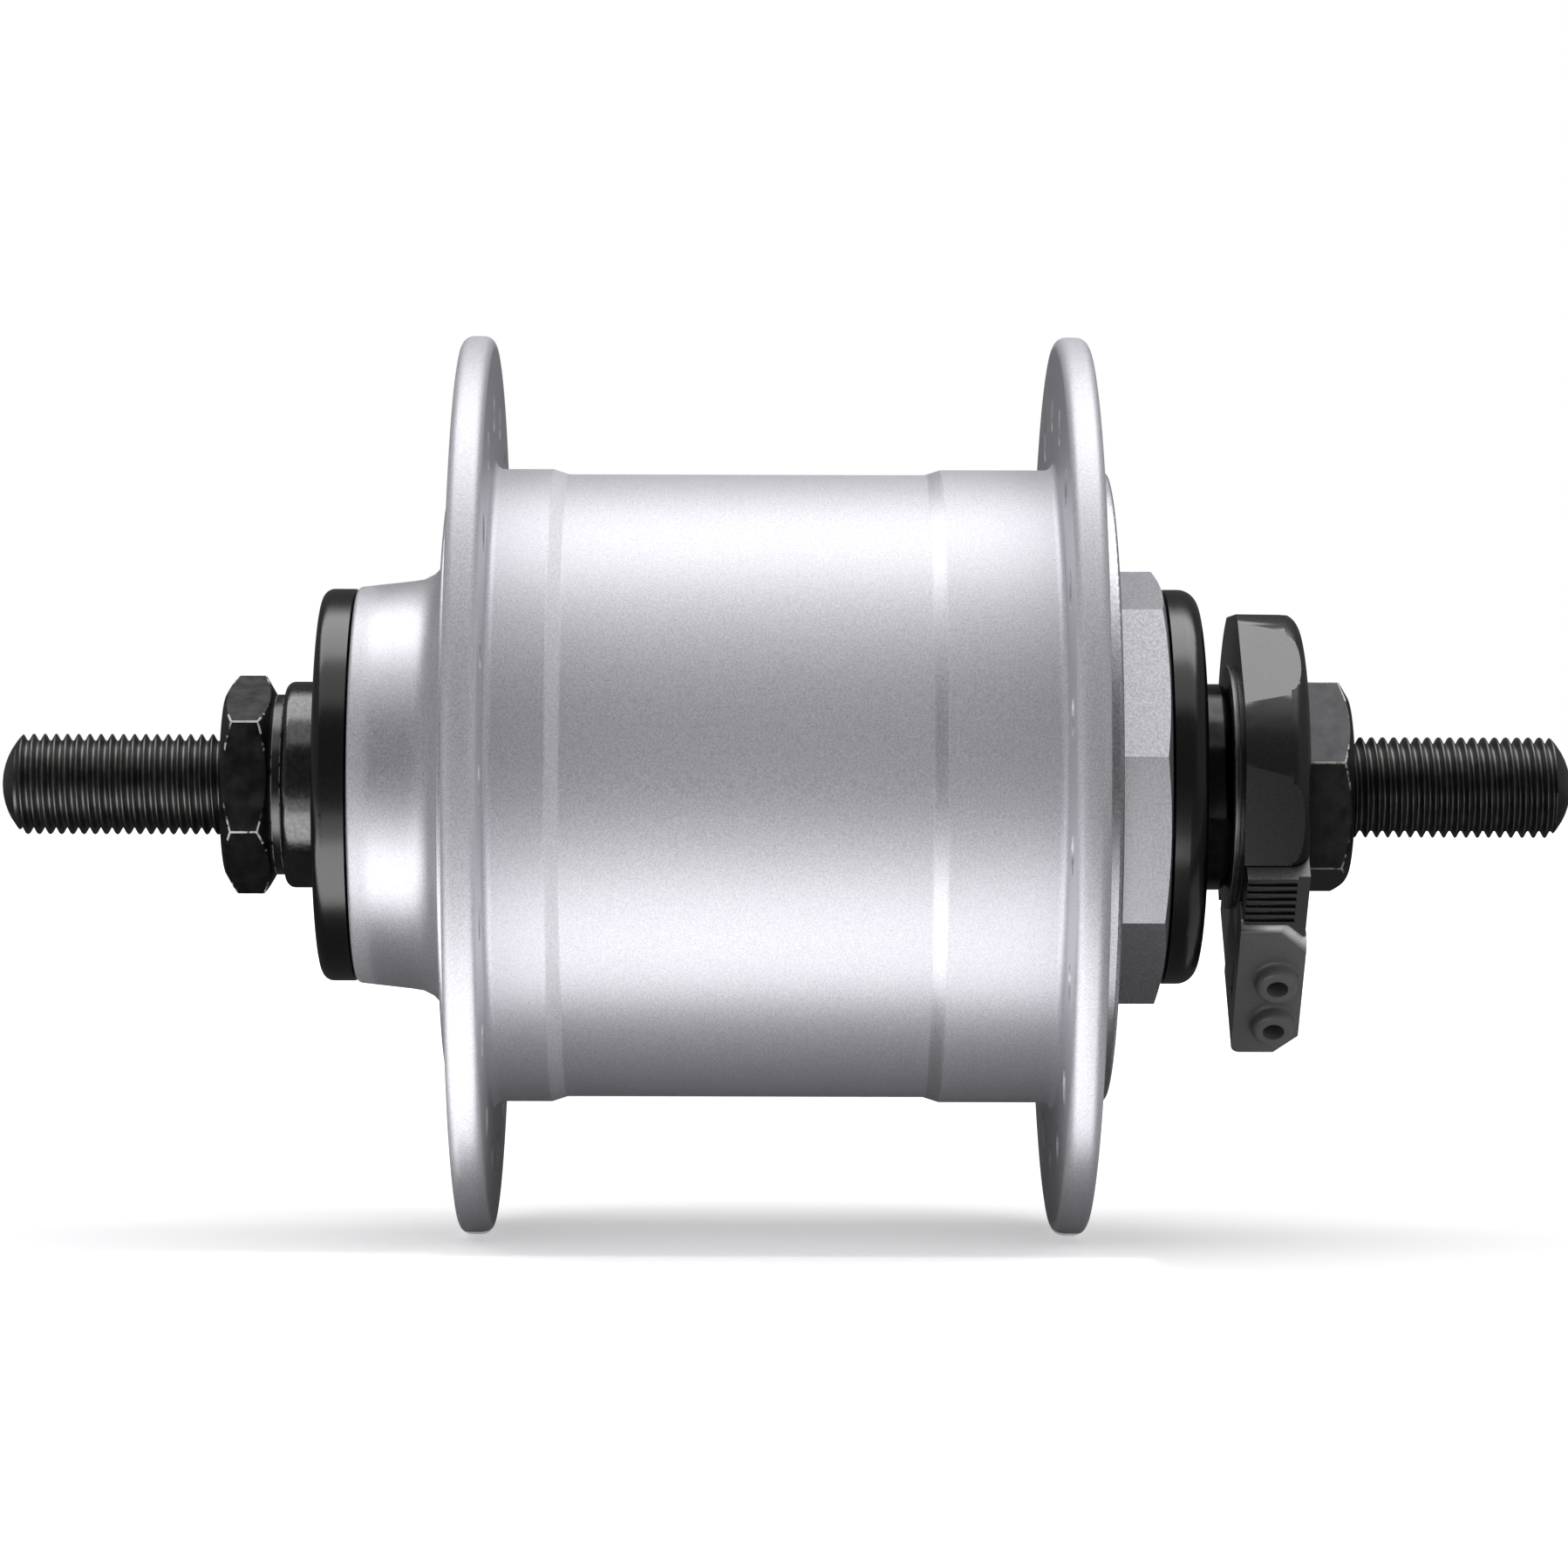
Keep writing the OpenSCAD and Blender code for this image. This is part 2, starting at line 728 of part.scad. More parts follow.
// Four quarter segments, each magnetised with seven poles
module magnets() {
  from = stator_mid - magnet_length / 2;
  to = stator_mid + magnet_length / 2;
  color("darkslategray") laid() difference() {
    ring(magnet_r - magnet_t, magnet_r, from, to);
    for (side = [0 : 90 : 270]) rotate([0, 0, side + 45])
      translate([0, -magnet_slit / 2, from - cut_over])
        cube([bore_r, magnet_slit, magnet_length + 2 * cut_over]);
  }
}

// One claw: an arm in the plate and a finger that tapers towards the far side
module claw() {
  finger = stator_length - claw_short;
  translate([pole_disc_r - 1, -claw_root_w / 2, 0])
    cube([claw_r - pole_disc_r + 2, claw_root_w, plate_t]);
  raised(claw_r - claw_t, claw_r + 1) polygon([
    [-claw_root_w / 2, 0], [claw_root_w / 2, 0], [claw_root_w / 2, plate_t],
    [claw_tip_w / 2, finger], [-claw_tip_w / 2, finger], [-claw_root_w / 2, plate_t]
  ]);
}

// Plate with claws that point upwards from its outer face at zero
module pole_ring() {
  intersection() {
    cylinder(h = stator_length, r = claw_r);
    union() {
      cylinder(h = plate_t, r = pole_disc_r);
      for (i = [0 : claw_count - 1]) rotate([0, 0, i * 360 / claw_count]) claw();
    }
  }
}

module left_pole_ring() {
  color("steelblue") laid() difference() {
    translate([0, 0, stator_left]) pole_ring();
    core_opening(stator_left, coil_left);
  }
}

module right_pole_ring() {
  color("cornflowerblue") laid() difference() {
    translate([0, 0, stator_right]) rotate([0, 0, 180 / claw_count])
      mirror([0, 0, 1]) pole_ring();
    core_opening(coil_right, stator_right);
    lead_hole();
  }
}

// Passage for the lead wire out of the coil
module lead_hole() {
  plug_frame() translate([lead_out, 0, coil_right - bobbin_wall - cut_over])
    cylinder(h = bobbin_wall + plate_t + 2 * cut_over, r = wire_d / 2 + 0.2);
}

module stator_core() {
  color("steelblue") laid() difference() {
    translate([0, 0, coil_left]) cylinder(h = coil_right - coil_left, r = stator_core_d / 2);
    core_opening(coil_left, coil_right);
  }
}

module coil_bobbin() {
  color("ivory") laid() difference() {
    rotate_extrude() {
      span(stator_core_d / 2 + press_gap, bobbin_hub_r, coil_left, coil_right);
      span(stator_core_d / 2 + press_gap, bobbin_r, coil_left, coil_left + bobbin_wall);
      span(stator_core_d / 2 + press_gap, bobbin_r, coil_right - bobbin_wall, coil_right);
    }
    lead_hole();
  }
}

module coil_winding() {
  from = coil_left + bobbin_wall;
  to = coil_right - bobbin_wall;
  edge = 1;
  color("peru") laid() rotate_extrude() difference() {
    span(bobbin_hub_r + press_gap, coil_r, from, to);
    corner(coil_r, from, edge, -1);
    corner(coil_r, to, edge, 1);
  }
}

module stator_washer() {
  rim = 3.5;
  color("silver") laid() ring(core_r + thread_gap, core_r + rim, stator_washer_in, stator_left);
}

module stator_nut() {
  color("gray") laid() difference() {
    prism(stator_nut_af, 6, stator_nut_in, stator_washer_in, 0);
    bore(core_r + thread_gap, stator_nut_in, stator_washer_in);
  }
}

// Insulated wire from the coil, through the groove in the axle, to the live blade
module lead_wire() {
  r = wire_d / 2;
  bend = lead_bend;
  coil_end = coil_right - bobbin_wall;
  seat = wire_seat + r + press_gap;
  color("red") laid() plug_frame() {
    translate([lead_out, 0, coil_end]) cylinder(h = bend - coil_end, r = r);
    translate([lead_out, 0, bend]) sphere(r);
    translate([seat, 0, bend]) rotate([0, 90, 0]) cylinder(h = lead_out - seat, r = r);
    translate([seat, 0, bend]) sphere(r);
    translate([seat, 0, bend]) cylinder(h = terminal_at - bend, r = r);
    translate([seat, 0, terminal_at]) sphere(r);
    translate([seat, 0, terminal_at]) rotate([0, 90, 0])
      cylinder(h = live_at - blade_w / 2 - seat, r = r);
  }
}

module ground_washer() {
  color("silver") laid() ring(axle_bore_r, plate_washer_d / 2, right_cone_out, housing_in);
}

// A blade in the plug's frame, from a start to its tip, with a gap all round
module blade(middle, start, gap) {
  block(middle - blade_w / 2 - gap, middle + blade_w / 2 + gap, start - gap,
    housing_face + blade_out, terminal_at - blade_t / 2 - gap, terminal_at + blade_t / 2 + gap);
}

module live_terminal() {
  color("gold") laid() plug_frame() blade(live_at, live_root, 0);
}

// The ground blade's root ends on the axle, which earths it
module ground_terminal() {
  color("gold") laid() plug_frame() difference() {
    blade(ground_at, ground_root, 0);
    bore(engaged_r + press_gap, housing_in, housing_out);
  }
}

// Half-plane to take off the housing's outline at a flat
module flat_cut(angle, distance) {
  rotate([0, 0, angle]) translate([distance, -housing_r]) square([housing_r, 2 * housing_r]);
}

module housing_outline() {
  difference() {
    circle(housing_r + 1);
    flat_cut(90, top_flat);
    flat_cut(upper_flat_angle, front_flat);
    flat_cut(lower_flat_angle, front_flat);
  }
}

// Black moulding on the axle, turned a little smaller towards its outer end
module connector_housing() {
  crown = 0.45;
  far = 2 * housing_r;
  color("#1c1c1c") laid() difference() {
    intersection() {
      translate([0, 0, housing_in]) linear_extrude(housing_t) housing_outline();
      rotate_extrude() difference() {
        polygon([
          [0, housing_in], [housing_r, housing_in], [housing_r - crown, housing_out],
          [0, housing_out]
        ]);
        corner(housing_r - crown, housing_out, housing_round, 1);
      }
    }
    bore(axle_bore_r, housing_in, housing_out);
    plug_frame() {
      block(-plug_back - slide_gap, far, housing_face, far,
        housing_in - cut_over, housing_out + cut_over);
      block(grip_base - slide_gap, far, -grip_reach - slide_gap, far,
        housing_in - cut_over, housing_out + cut_over);
      blade(live_at, live_root, press_gap);
      blade(ground_at, ground_root, press_gap);
      translate([0, 0, terminal_at]) rotate([0, 90, 0])
        cylinder(h = live_at - blade_w / 2, r = wire_d / 2 + press_gap);
    }
  }
}

// Outline of the plug's cap along the pull and the axle
module cap_outline() {
  round_r = 0.8;
  difference() {
    polygon([
      [cap_top, cap_side_in], [plug_end, cap_side_in],
      [plug_end, cap_side_out - cap_chamfer], [plug_end - cap_chamfer, cap_side_out],
      [cap_top + cap_chamfer, cap_side_out], [cap_top, cap_side_out - cap_chamfer]
    ]);
    translate([plug_end - round_r, cap_side_in + round_r]) difference() {
      translate([0, -2 * round_r]) square(2 * round_r);
      circle(round_r);
    }
  }
}

// The same outline set inwards, and open at its upper end from a start
module cap_inner(start, inset) {
  chamfer = cap_chamfer - (2 - sqrt(2)) * inset;
  end = plug_end - inset;
  side = cap_side_out - inset;
  polygon([
    [start, cap_side_in + inset], [end, cap_side_in + inset],
    [end, side - chamfer], [end - chamfer, side], [start, side]
  ]);
}

// Ribbed grip; its outer flank runs on beside the cap's upper chamfer
module grip() {
  rib_end = plug_side_out - 1.1;
  rib_root = plug_face - rib_h - 0.3;
  rib_pitch = (grip_reach + cap_top - slide_gap) / (rib_count - 0.5);
  raised(grip_base, plug_face - rib_h) polygon([
    [-grip_reach, plug_side_in], [cap_top - slide_gap, plug_side_in],
    [cap_top - slide_gap, cap_side_out - cap_chamfer],
    [cap_top - slide_gap + plug_side_out - cap_side_out + cap_chamfer, plug_side_out],
    [-grip_reach, plug_side_out]
  ]);
  for (i = [0 : rib_count - 1])
    block(rib_root, plug_face, i * rib_pitch - grip_reach,
      i * rib_pitch - grip_reach + rib_pitch / 2, plug_side_in, rib_end);
}

// Black moulding with the grip, the main block and the core inside the cap
module plug_body() {
  skirt_end = plug_face - hub_skirt;
  nut_skirt_end = plug_face - nut_skirt;
  core_inset = cap_wall + slide_gap;
  color("#1c1c1c") laid() plug_frame() difference() {
    union() {
      grip();
      raised(grip_base, core_face) cap_inner(0, core_inset);
      raised(nut_skirt_end - slide_gap, core_face) cap_inner(plug_near, core_inset);
      block(skirt_end - slide_gap, nut_skirt_end - slide_gap, plug_near,
        plug_end - core_inset, cap_side_in + core_inset, plug_side_out);
      block(-plug_back, skirt_end - slide_gap, plug_near, plug_end,
        plug_side_in, plug_side_out);
    }
    contact_space(live_at);
    contact_space(ground_at);
    wire_channel(inlet_at, live_at + blade_w / 2);
    wire_channel(inlet_at + inlet_pitch, ground_at + blade_w / 2);
  }
}

// Space in the plug's body for a blade with its clip, and for the clip's tail
module contact_space(middle) {
  half_w = blade_w / 2 + clip_gap;
  half_t = blade_t / 2 + clip_gap + clip_t + press_gap;
  block(middle - half_w, middle + half_w, plug_near - cut_over, clip_end + clip_gap,
    terminal_at - half_t, terminal_at + half_t);
}

// Passage in the plug's body for a stripped wire, down to its clip
module wire_channel(along, depth) {
  translate([depth - 0.3, along, terminal_at]) rotate([0, 90, 0])
    cylinder(h = core_face - depth + cut_over, r = inlet_bore / 2 + 0.05);
}

// Spring clip: two leaves beside the blade, joined behind its tip
module clip(middle) {
  leaf = blade_t / 2 + clip_gap;
  mouth = plug_near + 0.6;
  for (side = [0, 1]) mirror([0, 0, side]) translate([0, 0, leaf])
    block(middle - blade_w / 2, middle + blade_w / 2, mouth, clip_end, 0, clip_t);
  block(middle - blade_w / 2, middle + blade_w / 2, clip_end - clip_t, clip_end,
    -leaf - clip_t, leaf + clip_t);
}

module plug_contacts() {
  color("gold") laid() plug_frame() translate([0, 0, terminal_at]) {
    clip(live_at);
    clip(ground_at);
  }
}

// Grey cover over the plug's face, with two inlets for the wires
module plug_cap() {
  far = 2 * housing_r;
  cap_inside = plug_face - cap_face_t;
  skirt_end = plug_face - hub_skirt;
  window_drop = 3.9;
  window_at = plug_face - window_drop;
  window_w = 1.6;
  window_from = inlet_at + 0.8;
  window_length = 4;
  inlet_root = plug_face - cap_face_t / 2;
  color("#4d4d4d") laid() plug_frame() difference() {
    union() {
      raised(skirt_end, plug_face) cap_outline();
      for (i = [0, 1]) translate([inlet_root, inlet_at + i * inlet_pitch, terminal_at])
        rotate([0, 90, 0]) cylinder(h = plug_face + inlet_h - inlet_root, r = inlet_d / 2);
    }
    raised(0, cap_inside) cap_inner(-far, cap_wall);
    block(-far, plug_face - nut_skirt, -far, plug_end - cap_wall,
      cap_side_in + cap_wall, far + housing_out);
    block(-far, plug_face - nut_skirt, -far, far, plug_side_out, far + housing_out);
    block(-far, grip_base, -far, plug_near, -far, far + housing_out);
    block(window_at, window_at + window_w, window_from, window_from + window_length,
      cap_side_in - cut_over, cap_side_in + cap_wall + cut_over);
    for (i = [0, 1]) translate([cap_inside - cut_over, inlet_at + i * inlet_pitch, terminal_at])
      rotate([0, 90, 0]) cylinder(h = cap_face_t + inlet_h + 2 * cut_over, r = inlet_bore / 2);
  }
}

axle();
left_locknut();
left_spacer();
left_cone();
left_seal();
left_balls();
left_ball_cage();
left_cup();
hub_shell();
magnet_yoke();
magnets();
left_pole_ring();
right_pole_ring();
stator_core();
coil_bobbin();
coil_winding();
stator_washer();
stator_nut();
lead_wire();
end_cap();
end_cap_o_ring();
right_cup();
right_balls();
right_ball_cage();
right_cone();
right_seal();
ground_washer();
connector_housing();
live_terminal();
ground_terminal();
plug_body();
plug_contacts();
plug_cap();
right_locknut();
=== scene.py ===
# %% [markdown]
# # A bicycle's hub dynamo
# The part's construction is fixed: each solid piece is loaded where it belongs. This file
# gives the pieces their looks. Rounded edges, threads and drilled holes are modelled, every
# surface gets a material, and a camera, a floor, a lamp and cards stand around the hub. The
# hub's own sizes are in millimetres, as it is made, and are turned to metres last. The
# studio's sizes are in metres.

import json
import math

import bmesh
import bpy
from mathutils import Matrix, Vector


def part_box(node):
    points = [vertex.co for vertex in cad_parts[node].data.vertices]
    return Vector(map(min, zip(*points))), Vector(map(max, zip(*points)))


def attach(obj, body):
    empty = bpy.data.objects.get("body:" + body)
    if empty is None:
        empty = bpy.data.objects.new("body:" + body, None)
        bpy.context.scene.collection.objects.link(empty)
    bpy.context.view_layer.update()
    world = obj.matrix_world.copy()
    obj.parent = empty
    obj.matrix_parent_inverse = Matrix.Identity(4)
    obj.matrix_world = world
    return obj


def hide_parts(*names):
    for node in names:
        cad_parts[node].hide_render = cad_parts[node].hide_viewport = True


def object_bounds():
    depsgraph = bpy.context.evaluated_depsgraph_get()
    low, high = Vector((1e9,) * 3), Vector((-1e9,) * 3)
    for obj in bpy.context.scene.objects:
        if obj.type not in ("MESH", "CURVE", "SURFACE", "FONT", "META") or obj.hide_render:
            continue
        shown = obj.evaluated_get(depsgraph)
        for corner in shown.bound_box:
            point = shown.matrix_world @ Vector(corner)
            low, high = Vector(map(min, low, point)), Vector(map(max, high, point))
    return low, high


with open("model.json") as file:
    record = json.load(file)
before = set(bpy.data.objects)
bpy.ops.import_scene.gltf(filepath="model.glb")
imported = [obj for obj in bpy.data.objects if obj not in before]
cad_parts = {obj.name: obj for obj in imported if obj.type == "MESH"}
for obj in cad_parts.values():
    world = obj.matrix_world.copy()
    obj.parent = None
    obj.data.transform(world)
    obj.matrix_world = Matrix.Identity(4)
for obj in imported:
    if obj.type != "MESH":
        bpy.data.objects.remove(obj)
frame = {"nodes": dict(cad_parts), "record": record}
cad_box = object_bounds()
scene = bpy.context.scene
MM = 0.001
print("pieces in the frame:", len(frame["nodes"]))
print("box in mm:", [[round(value / MM, 2) for value in corner] for corner in cad_box])

# %% [markdown]
# ## Stations along the axle
# The axle lies along Y, and the picture is taken from the -X side, so the picture's right is
# -Y. A station is a distance from the axle's middle towards the picture's right. The frame
# says between which stations each piece lies, so nothing here has to repeat those places.


# %% Stations from the frame
def stations(node):
    """The two stations in mm between which a piece lies."""
    low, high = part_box(node)
    return -high.y / MM, -low.y / MM


def radius_of(node):
    """Largest distance in mm of a piece from the axle's line, along an axis."""
    low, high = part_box(node)
    return max(-low.x, high.x, -low.z, high.z) / MM


axle_ends = stations("axle")
shell_ends = stations("hub_shell")
print("axle from", round(axle_ends[0], 2), "to", round(axle_ends[1], 2))
print("shell from", round(shell_ends[0], 2), "to", round(shell_ends[1], 2))

# %% [markdown]
# ## Camera
# The photograph looks square at the axle from about half a metre. Its scale was worked out
# from the thread, whose pitch is a standard millimetre. The camera aims a little to the left
# of the picture's middle, which the lens shift gives without turning the camera. The axle
# runs a little out of level in the picture, which is the camera's roll. Distances here are
# in millimetres, and the clipping ones in metres.

# %% Camera
picture_px = 1798
px_per_mm = 12.83
camera_distance = 500
aim_station = -4.0
aim_px = (850.0, 900.5)
roll = math.radians(0.15)
sensor_mm = 36.0

lens = bpy.data.cameras.new("photo_camera")
lens.sensor_width = sensor_mm
lens.lens = px_per_mm * camera_distance / picture_px * sensor_mm
lens.shift_x = ((picture_px - 1) / 2 - aim_px[0]) / picture_px
lens.shift_y = (aim_px[1] - (picture_px - 1) / 2) / picture_px
lens.clip_start, lens.clip_end = 0.01, 20.0
camera = bpy.data.objects.new("photo_camera", lens)
along_x = Matrix.Rotation(math.radians(-90), 4, "Z") @ Matrix.Rotation(math.radians(90), 4, "X")
place = Matrix.Translation(Vector((-camera_distance, -aim_station, 0)) * MM)
camera.matrix_world = place @ along_x @ Matrix.Rotation(roll, 4, "Z")
scene.collection.objects.link(camera)
scene.camera = camera
scene.view_settings.view_transform = "Standard"
print("lens in mm:", round(lens.lens, 2), "shift:", round(lens.shift_x, 4))

# %% [markdown]
# ## Helpers for colours and nodes
# Colours are read off real things as sRGB hex values, and Blender's shaders add up light,
# so one function turns a hex value to linear. A second adds one node with its settings and
# its links, which keeps every material below to a few lines.


# %% Colour and node helpers
def paint(code):
    """Linear colour of an sRGB hex value."""
    shares = [int(code[i:i + 2], 16) / 255 for i in (1, 3, 5)]
    return [s / 12.92 if s <= 0.04045 else ((s + 0.055) / 1.055) ** 2.4 for s in shares] + [1.0]


def add(tree, kind, links=None, **settings):
    """Adds a node. Settings are its own, and links give its inputs a value or another socket."""
    node = tree.nodes.new(kind)
    for key, value in settings.items():
        setattr(node, key, value)
    for key, value in (links or {}).items():
        socket = node.inputs[key]
        if isinstance(value, bpy.types.NodeSocket):
            tree.links.new(value, socket)
        else:
            socket.default_value = value
    return node


def material(name, colour, metallic, roughness, **inputs):
    """A new material with its main shader, whose plain numbers sit on the shader itself."""
    made = bpy.data.materials.new(name)
    made.use_nodes = True
    shader = made.node_tree.nodes["Principled BSDF"]
    shader.inputs["Base Color"].default_value = paint(colour)
    shader.inputs["Metallic"].default_value = metallic
    shader.inputs["Roughness"].default_value = roughness
    for key, value in inputs.items():
        shader.inputs[key.replace("_", " ")].default_value = value
    made.diffuse_color = paint(colour)
    return made, made.node_tree, shader


def per_mm(size):
    """A noise texture's scale at which its features are about that many mm wide."""
    return 1 / (size * MM)


print("a mid grey in linear light:", round(paint("#808080")[0], 3))

# %% [markdown]
# ## Studio
# Bright metal shows its surroundings, so the studio is most of the finish. In the
# photograph every turned surface has one bright band above and one below, with the camera's
# dark side between them and a dark band under them. One wide lamp hangs overhead and gives
# the upper band and the shadow. Cards that only mirrors see give the rest: bright strips
# on the floor in front give the lower band, and dark cards stand on the camera's side, behind,
# below and at both ends. More lamps would lighten every colour, and a card changes only what
# a surface mirrors. Angles start at the camera's side, and 90 is above the axle.

# %% Floor, backdrop and fill
floor_z = cad_box[0].z
floor_half = 6.0
backdrop_glow = 1.0
fill_glow = 0.68
shadow_from, shadow_to, shadow_glow = 0.10, 0.60, 0.40


def seen_share(tree):
    """1 for rays from the camera, mirrors and glass, and 0 for rays that only light things."""
    path = add(tree, "ShaderNodeLightPath").outputs
    mirrored = add(tree, "ShaderNodeMath", {0: path["Is Camera Ray"], 1: path["Is Glossy Ray"]},
                   operation="MAXIMUM")
    return add(tree, "ShaderNodeMath", {0: mirrored.outputs[0], 1: path["Is Transmission Ray"]},
               operation="MAXIMUM").outputs[0]


room = bpy.data.worlds.new("white_room")
scene.world = room
room.use_nodes = True
room_light = room.node_tree.nodes["Background"]
brightness = add(room.node_tree, "ShaderNodeMapRange", {
    "Value": seen_share(room.node_tree), "To Min": fill_glow, "To Max": backdrop_glow})
room_light.inputs["Color"].default_value = paint("#FFFFFF")
room.node_tree.links.new(brightness.outputs["Result"], room_light.inputs["Strength"])

floor_mesh = bpy.data.meshes.new("floor")
corners = [(-floor_half, -floor_half), (floor_half, -floor_half),
           (floor_half, floor_half), (-floor_half, floor_half)]
floor_mesh.from_pydata([(x, y, floor_z) for x, y in corners], [], [(0, 1, 2, 3)])
floor = bpy.data.objects.new("floor", floor_mesh)
scene.collection.objects.link(floor)

# The paper is seen white away from the hub, and keeps the hub's shadow near it.
paper, tree, shader = material("pale_paper", "#D8D8DA", 0.0, 0.9)
shader.inputs["Emission Color"].default_value = paint("#FFFFFF")
away = add(tree, "ShaderNodeVectorMath", {
    0: add(tree, "ShaderNodeTexCoord").outputs["Object"]}, operation="LENGTH")
fade = add(tree, "ShaderNodeMapRange", {
    "Value": away.outputs["Value"], "From Min": shadow_from, "From Max": shadow_to,
    "To Min": shadow_glow, "To Max": backdrop_glow})
lift = add(tree, "ShaderNodeMath", {0: seen_share(tree), 1: fade.outputs["Result"]},
           operation="MULTIPLY")
tree.links.new(lift.outputs[0], shader.inputs["Emission Strength"])
floor_mesh.materials.append(paper)
print("floor at", round(floor_z / MM, 2), "mm, fill", fill_glow, "backdrop", backdrop_glow)


# %% Lamp and card helpers
def facing_axle(angle, distance):
    """Place that faces the axle: angle 0 is the camera's side and 90 is above the axle."""
    turn = math.radians(angle)
    outward = Vector((-math.cos(turn), 0, math.sin(turn)))
    along = Vector((0, 1, 0))
    across = along.cross(outward)
    axes = Matrix((across, along, outward)).transposed().to_4x4()
    return Matrix.Translation(outward * distance) @ axes


def softbox(name, angle, distance, width, length, glow):
    """A wide lamp with the given brightness of its face."""
    lamp = bpy.data.lights.new(name, "AREA")
    lamp.shape = "RECTANGLE"
    lamp.size, lamp.size_y = width, length
    lamp.energy = glow * math.pi * width * length
    placed = bpy.data.objects.new(name, lamp)
    placed.matrix_world = facing_axle(angle, distance)
    placed.visible_camera = False
    scene.collection.objects.link(placed)


def card(name, corners, faces, glow):
    """A card that only mirrors see, with its brightness."""
    mesh = bpy.data.meshes.new(name)
    mesh.from_pydata(corners, [], faces)
    cloth = bpy.data.materials.new(name + "_cloth")
    cloth.use_nodes = True
    nodes = cloth.node_tree
    glowing = add(nodes, "ShaderNodeEmission", {"Color": paint("#FFFFFF"), "Strength": glow})
    nodes.links.new(glowing.outputs[0], nodes.nodes["Material Output"].inputs["Surface"])
    mesh.materials.append(cloth)
    placed = bpy.data.objects.new(name, mesh)
    scene.collection.objects.link(placed)
    for kind in ("camera", "diffuse", "transmission", "volume_scatter", "shadow"):
        setattr(placed, "visible_" + kind, False)


def long_card(name, points, glow, left, right):
    """A card bent through (x, z) points, that runs along the axle between two stations."""
    corners = [(x, -side, z) for x, z in points for side in (left, right)]
    faces = [(2 * i, 2 * i + 1, 2 * i + 3, 2 * i + 2) for i in range(len(points) - 1)]
    card(name, corners, faces, glow)


def arc(from_angle, to_angle, distance):
    """Points of a card that is bent round the axle, about one for every 8 degrees."""
    steps = max(2, round(abs(to_angle - from_angle) / 8))
    turns = [math.radians(from_angle + (to_angle - from_angle) * i / steps)
             for i in range(steps + 1)]
    return [(-distance * math.cos(t), distance * math.sin(t)) for t in turns]


def on_floor(angle, height):
    """The (x, z) at which a line from the axle at an angle comes within a height of the floor."""
    z = floor_z + height
    return z / math.tan(math.radians(-angle)), z


# %% One lamp and the cards
far = 1.2
card_distance = 0.66
housing_distance = 0.13
above_floor = 0.0006
plug_card_z = floor_z + 2 * above_floor


def strip(from_angle, to_angle):
    """A card that lies on the floor between two angles seen from the axle."""
    return [on_floor(angle, above_floor) for angle in (from_angle, to_angle)]


softbox("overhead_lamp", angle=98, distance=0.62, width=0.46, length=1.5, glow=1.85)
for name, points, glow, left, right in (
        ("low_left_card", strip(-62, -30), 2.7, -0.11, -0.03),
        ("low_middle_card", strip(-58, -28), 2.6, -0.03, 0.031),
        ("low_right_card", strip(-38, -26), 2.1, 0.031, 0.038),
        ("low_dark_card", strip(-58, -38), 0.06, 0.031, far),
        ("far_right_dark_card", strip(-38, -26), 0.20, 0.038, far),
        ("far_low_dark_card", strip(-60, -30), 0.10, -far, -0.11),
        ("front_floor_card", strip(-28, -16), 0.9, -far, 0.036),
        ("right_front_floor_card", strip(-26, -16), 0.12, 0.036, far),
        ("far_front_floor_card", strip(-16, -3.5), 0.12, -far, far),
        ("front_card", arc(-3.5, 46, card_distance), 0.08, -far, far),
        ("high_front_card", arc(46, 77, card_distance), 0.75, -far, far),
        ("back_card", arc(125, 183.5, card_distance), 0.10, -far, far),
        ("under_card", [on_floor(-58, above_floor), (card_distance, floor_z + above_floor)],
         0.06, -far, far),
        ("plug_card", [(-0.034, plug_card_z), (0.014, plug_card_z)], 0.35, 0.042, 0.075),
        ("housing_card", arc(80, 108, housing_distance), 3.2, 0.044, 0.070)):
    long_card(name, points, glow, left, right)
flag_half, flag_station, flag_glow = 0.7, 0.5, 0.16
flag_outline = [(-flag_half, floor_z), (flag_half, floor_z), (flag_half, flag_half),
                (-flag_half, flag_half)]
for name, station in (("left_flag", -flag_station), ("right_flag", flag_station)):
    card(name, [(x, -station, z) for x, z in flag_outline], [(0, 1, 2, 3)], flag_glow)

# %% [markdown]
# ## Materials
# Each finish starts from what the real surface is and how it was made. A flat colour would
# look like paint, so one fine noise moves the shade, the gloss and the relief together, as a
# real grain does. It is sized in real millimetres on Object coordinates, which are the part's
# own frame, because every piece's object stands at the origin.


# %% One finish from one grain
usual_noise = (0.3, 0.7)


